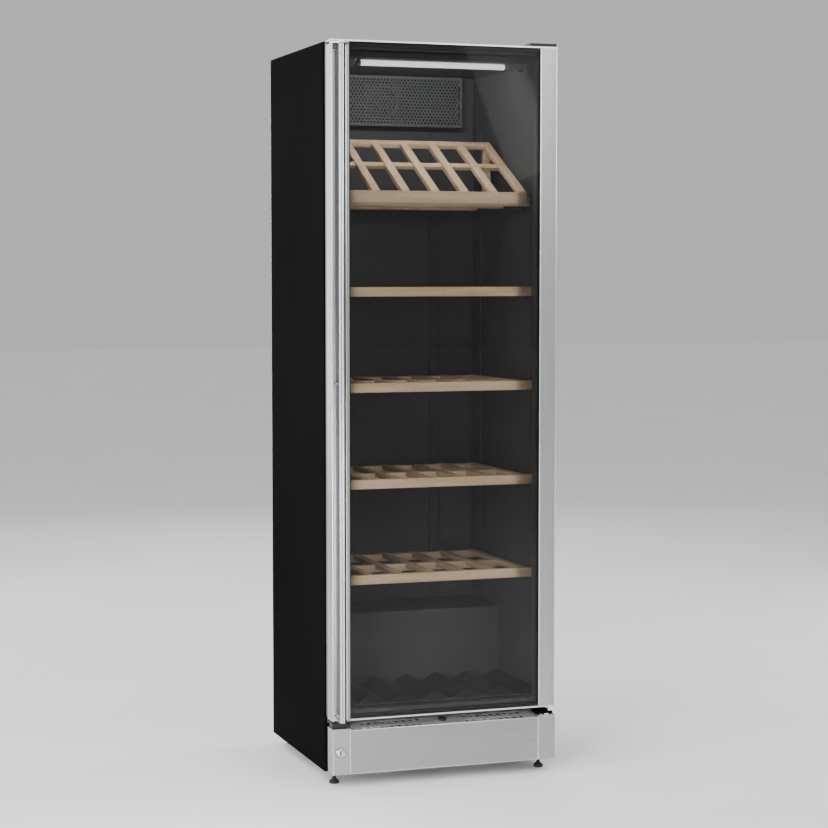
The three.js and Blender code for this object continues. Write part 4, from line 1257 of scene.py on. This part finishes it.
def coil_parts():
    """A serpentine tube, wires welded across its runs, upright straps and their stand-offs."""
    pitch = (COIL_HIGH - COIL_LOW) / (COIL_RUNS - 1)
    radius = pitch / 2
    points = []
    for run in range(COIL_RUNS):
        z = COIL_LOW + run * pitch
        ends = (-COIL_HALF, COIL_HALF) if run % 2 == 0 else (COIL_HALF, -COIL_HALF)
        points += [(ends[0], COIL_DEPTH, z), (ends[1], COIL_DEPTH, z)]
        if run < COIL_RUNS - 1:
            side = 1 if run % 2 == 0 else -1
            for step in range(1, BEND_STEPS):
                angle = -math.pi / 2 + math.pi * step / BEND_STEPS
                points.append((
                    side * (COIL_HALF + radius * 0.9 * math.cos(angle)), COIL_DEPTH,
                    z + radius + radius * math.sin(angle),
                ))
    parts = [(piped(points, 3.0, 10), 0)]
    for index, x in enumerate(spaced(WIRES, 214)):
        depth = COIL_DEPTH - 3.3 if index % 2 else COIL_DEPTH + 3.2
        parts.append((piped([(x, depth, COIL_LOW - 16), (x, depth, COIL_HIGH + 16)], 0.7, 6), 0))
    for x in STRAPS:
        depths = (COIL_DEPTH + 2.2, COIL_DEPTH + 4)
        parts.append((bar(about(x, 5), depths, (COIL_LOW - 20, COIL_HIGH + 20), 0.4, 1), 0))
    for x in (STRAPS[0], STRAPS[-1]):
        for z in (COIL_LOW - 14, COIL_HIGH + 14):
            post = (about(x, 5), (CABINET_BACK + 0.2, COIL_DEPTH + 3), about(z, 5))
            parts.append((bar(*post, 0.8, 2), 0))
    return parts


made(
    "condenser_wire_on_tube", "cabinet", coil_parts(), [BLACK_ENAMEL],
    ["condenser"],
)

PUMP_X, PUMP_DEPTH, PUMP_BASE = 70.0, 446.0, 40.3


def compressor_parts():
    """A two-shell sealed compressor with its weld flange, foot plate, grommets and relay box."""
    shell = [
        (0, 14.5), (52, 14.5), (66, 21), (74, 32), (76, 46), (76, 86), (78, 87.5), (78, 91.5),
        (76, 93), (75, 108), (69, 132), (56, 151), (36, 164), (16, 170), (0, 173),
    ]
    parts = [
        (turned(shell, (PUMP_X, PUMP_DEPTH, PUMP_BASE), "z", 48), 0),
        (bar(about(PUMP_X, 85), about(PUMP_DEPTH, 68), about(PUMP_BASE + 16, 2), 1.5), 0),
        (bar(about(PUMP_X - 92, 26), about(PUMP_DEPTH, 26), about(PUMP_BASE + 80, 32), 4.0, 3), 1),
    ]
    grommet = [
        (0, 0), (8, 0), (9, 1), (9, 6), (6.8, 7), (6.8, 9), (9, 10), (9, 16), (8, 17), (0, 17),
    ]
    for dx in (-1, 1):
        for dy in (-1, 1):
            spot = (PUMP_X + dx * 70, PUMP_DEPTH + dy * 55, PUMP_BASE)
            parts.append((turned(grommet, spot, "z", 20), 1))
    return parts


made(
    "compressor_sealed", "cabinet", compressor_parts(), [BLACK_ENAMEL, BLACK_PLASTIC],
    ["compressor"],
)
tubes = [
    [(130, 430, 150), (168, 430, 150), (200, 470, 150), (236, 540, 190), (236, 566, 260),
     (236, 568, 400), (232, 573, 430)],
    [(100, 500, 130), (110, 528, 130), (150, 548, 150), (190, 552, 230), (190, 552, 338)],
    [(20, 500, 120), (5, 532, 120), (-30, 545, 130), (-60, 545, 130)],
]
made(
    "refrigerant_lines", "cabinet",
    [(piped(smooth_path(line, 18), 3.0, 10), 0) for line in tubes], [COPPER],
)

INLET_X, INLET_LOW, INLET_HIGH = -180.0, 300.0, 343.5
inlet_outer = box((-27, 27), (0, 43.5))
inlet_socket = filleted([
    (-12.5, 12, 1.0), (12.5, 12, 1.0), (12.5, 24, 3.0), (8.5, 30, 3.0), (-8.5, 30, 3.0),
    (-12.5, 24, 3.0),
], 3)
inlet_face = stood(
    plate(inlet_outer, [inlet_socket], 0, 16, 0.6), place(INLET_X, CABINET_BACK, INLET_LOW)
)
inlet = [
    (inlet_face, 0),
    (bar(about(INLET_X, 26), (521, 544.5), (INLET_LOW + 1, INLET_HIGH - 1), 1.5), 0),
]
for dx, dz in ((-7, 18), (7, 18), (0, 24)):
    pin = (about(INLET_X + dx, 1), (544, 557), about(INLET_LOW + dz, 2))
    inlet.append((bar(*pin, 0.5), 1))
made(
    "mains_inlet_socket", "cabinet", inlet, [BLACK_PLASTIC, CHROME],
    ["mains_inlet"],
)

back_screws = [(x, z) for z in (380, 745, 1110, 1475, 1810) for x in (-288, 288)]
back_screws += [(x, 1826) for x in (-190, 0, 190)]
made(
    "back_panel_screws", "cabinet",
    [(screw(x, CABINET_BACK, z, "y", 1), 0) for x, z in back_screws], [ZINC],
)


# ------------------------------------------------------------------ floor, light and camera

floor_mesh = bpy.data.meshes.new("studio_floor")
floor_form = bmesh.new()
bmesh.ops.create_grid(floor_form, x_segments=2, y_segments=2, size=30)
floor_form.to_mesh(floor_mesh)
floor_form.free()
floor_paint = Paint("pale_floor", roughness=0.6, specular=0.2)
floor_grain = floor_paint.noise(even(2.0), detail=3.0)
floor_paint.color(floor_paint.ramp(
    floor_grain, (0.3, (0.66, 0.66, 0.66)), (0.7, (0.69, 0.69, 0.69))
))
floor_mesh.materials.append(floor_paint.material)
floor = bpy.data.objects.new("studio_floor", floor_mesh)
show(floor)

world = bpy.data.worlds.new("studio")
world.use_nodes = True
backdrop = world.node_tree.nodes["Background"]
preset(backdrop, Color=(0.56, 0.562, 0.566, 1.0), Strength=1.0)
bpy.context.scene.world = world


def soft_light(name, position, target, size, power, mirrored=True):
    """A rectangular soft box that faces a target and isn't itself in the picture."""
    lamp = bpy.data.lights.new(name, "AREA")
    lamp.shape = "RECTANGLE"
    lamp.size, lamp.size_y = size
    lamp.energy = power
    holder = bpy.data.objects.new(name, lamp)
    holder.location = position
    aim = Vector(target) - Vector(position)
    holder.rotation_mode = "QUATERNION"
    holder.rotation_quaternion = aim.to_track_quat("-Z", "Y")
    holder.visible_camera = False
    holder.visible_glossy = mirrored
    show(holder)
    return holder


for light in (
    ("key", (-2.2, -2.6, 1.9), (0, -0.2, 0.7), (1.2, 2.4), 75),
    ("front_fill", (1.6, -4.6, 3.4), (0, 0, 0.9), (2.6, 2.2), 70),
    ("left_behind", (-1.9, 3.4, 1.7), (-0.3, -0.2, 1.1), (2.2, 2.6), 42),
    ("left_strip", (-3.6, -1.35, 1.4), (-0.3, -0.28, 1.1), (0.8, 3.0), 130),
    ("right_strip", (3.9, 0.9, 1.3), (0.3, -0.28, 1.1), (0.6, 2.8), 90),
    ("overhead", (0.4, -0.2, 5.0), (0, 0, 0), (4.0, 4.0), 150),
    ("rear", (0.8, 5.0, 2.8), (0, 0, 0.9), (3.0, 2.2), 70),
):
    soft_light(*light)
low_left = soft_light("low_left", (-1.15, -1.75, 0.5), (-0.15, -0.28, 0.2), (0.5, 0.5), 8)
low_left.data.spread = math.radians(80)

# A dim leaning panel far in front, for the slanting patch of sheen high on the glass.
sheen = soft_light("sheen", (2.97, -7.0, 3.14), (2.97, 0, 3.14), (1.2, 2.4), 10)
sheen.rotation_quaternion = (
    Matrix.Rotation(math.radians(-21.5), 4, "Y") @ Matrix.Rotation(math.radians(90), 4, "X")
).to_quaternion()

# The lit tube's own light inside, and a weak fill that the glass lets through.
lamp_y = (FACE + LAMP_DEPTH) * MM
for light in (
    ("lamp_down", (0, lamp_y + 0.012, 1.785), (0, lamp_y + 0.35, 1.0), (0.38, 0.02), 2.1),
    ("lamp_up", (0, lamp_y + 0.014, 1.796), (0, lamp_y + 0.05, 1.83), (0.38, 0.01), 3.0),
    ("inside_fill", (0, lamp_y - 0.035, 0.95), (0, 0.3, 0.95), (0.44, 1.4), 2.6),
):
    soft_light(*light, mirrored=False)

sky = bpy.data.lights.new("even_sky", "SUN")
sky.energy = 1.1
sky.angle = math.radians(60)
sky_holder = bpy.data.objects.new("even_sky", sky)
sky_holder.rotation_euler = (math.radians(-18), math.radians(-14), 0)
show(sky_holder)

YAW = math.radians(19.023)
PITCH = math.radians(3.767)
camera_data = bpy.data.cameras.new("photo_view")
camera_data.sensor_width = 36.0
camera_data.lens = 92.59
camera_data.clip_end = 100.0
camera = bpy.data.objects.new("photo_view", camera_data)
camera.location = (-1.80376, -5.26516, 1.27385)
view_line = Vector((
    math.sin(YAW) * math.cos(PITCH), math.cos(YAW) * math.cos(PITCH), -math.sin(PITCH)
))
camera.rotation_mode = "QUATERNION"
camera.rotation_quaternion = view_line.to_track_quat("-Z", "Y")
show(camera)
bpy.context.scene.camera = camera

bpy.context.view_layer.update()
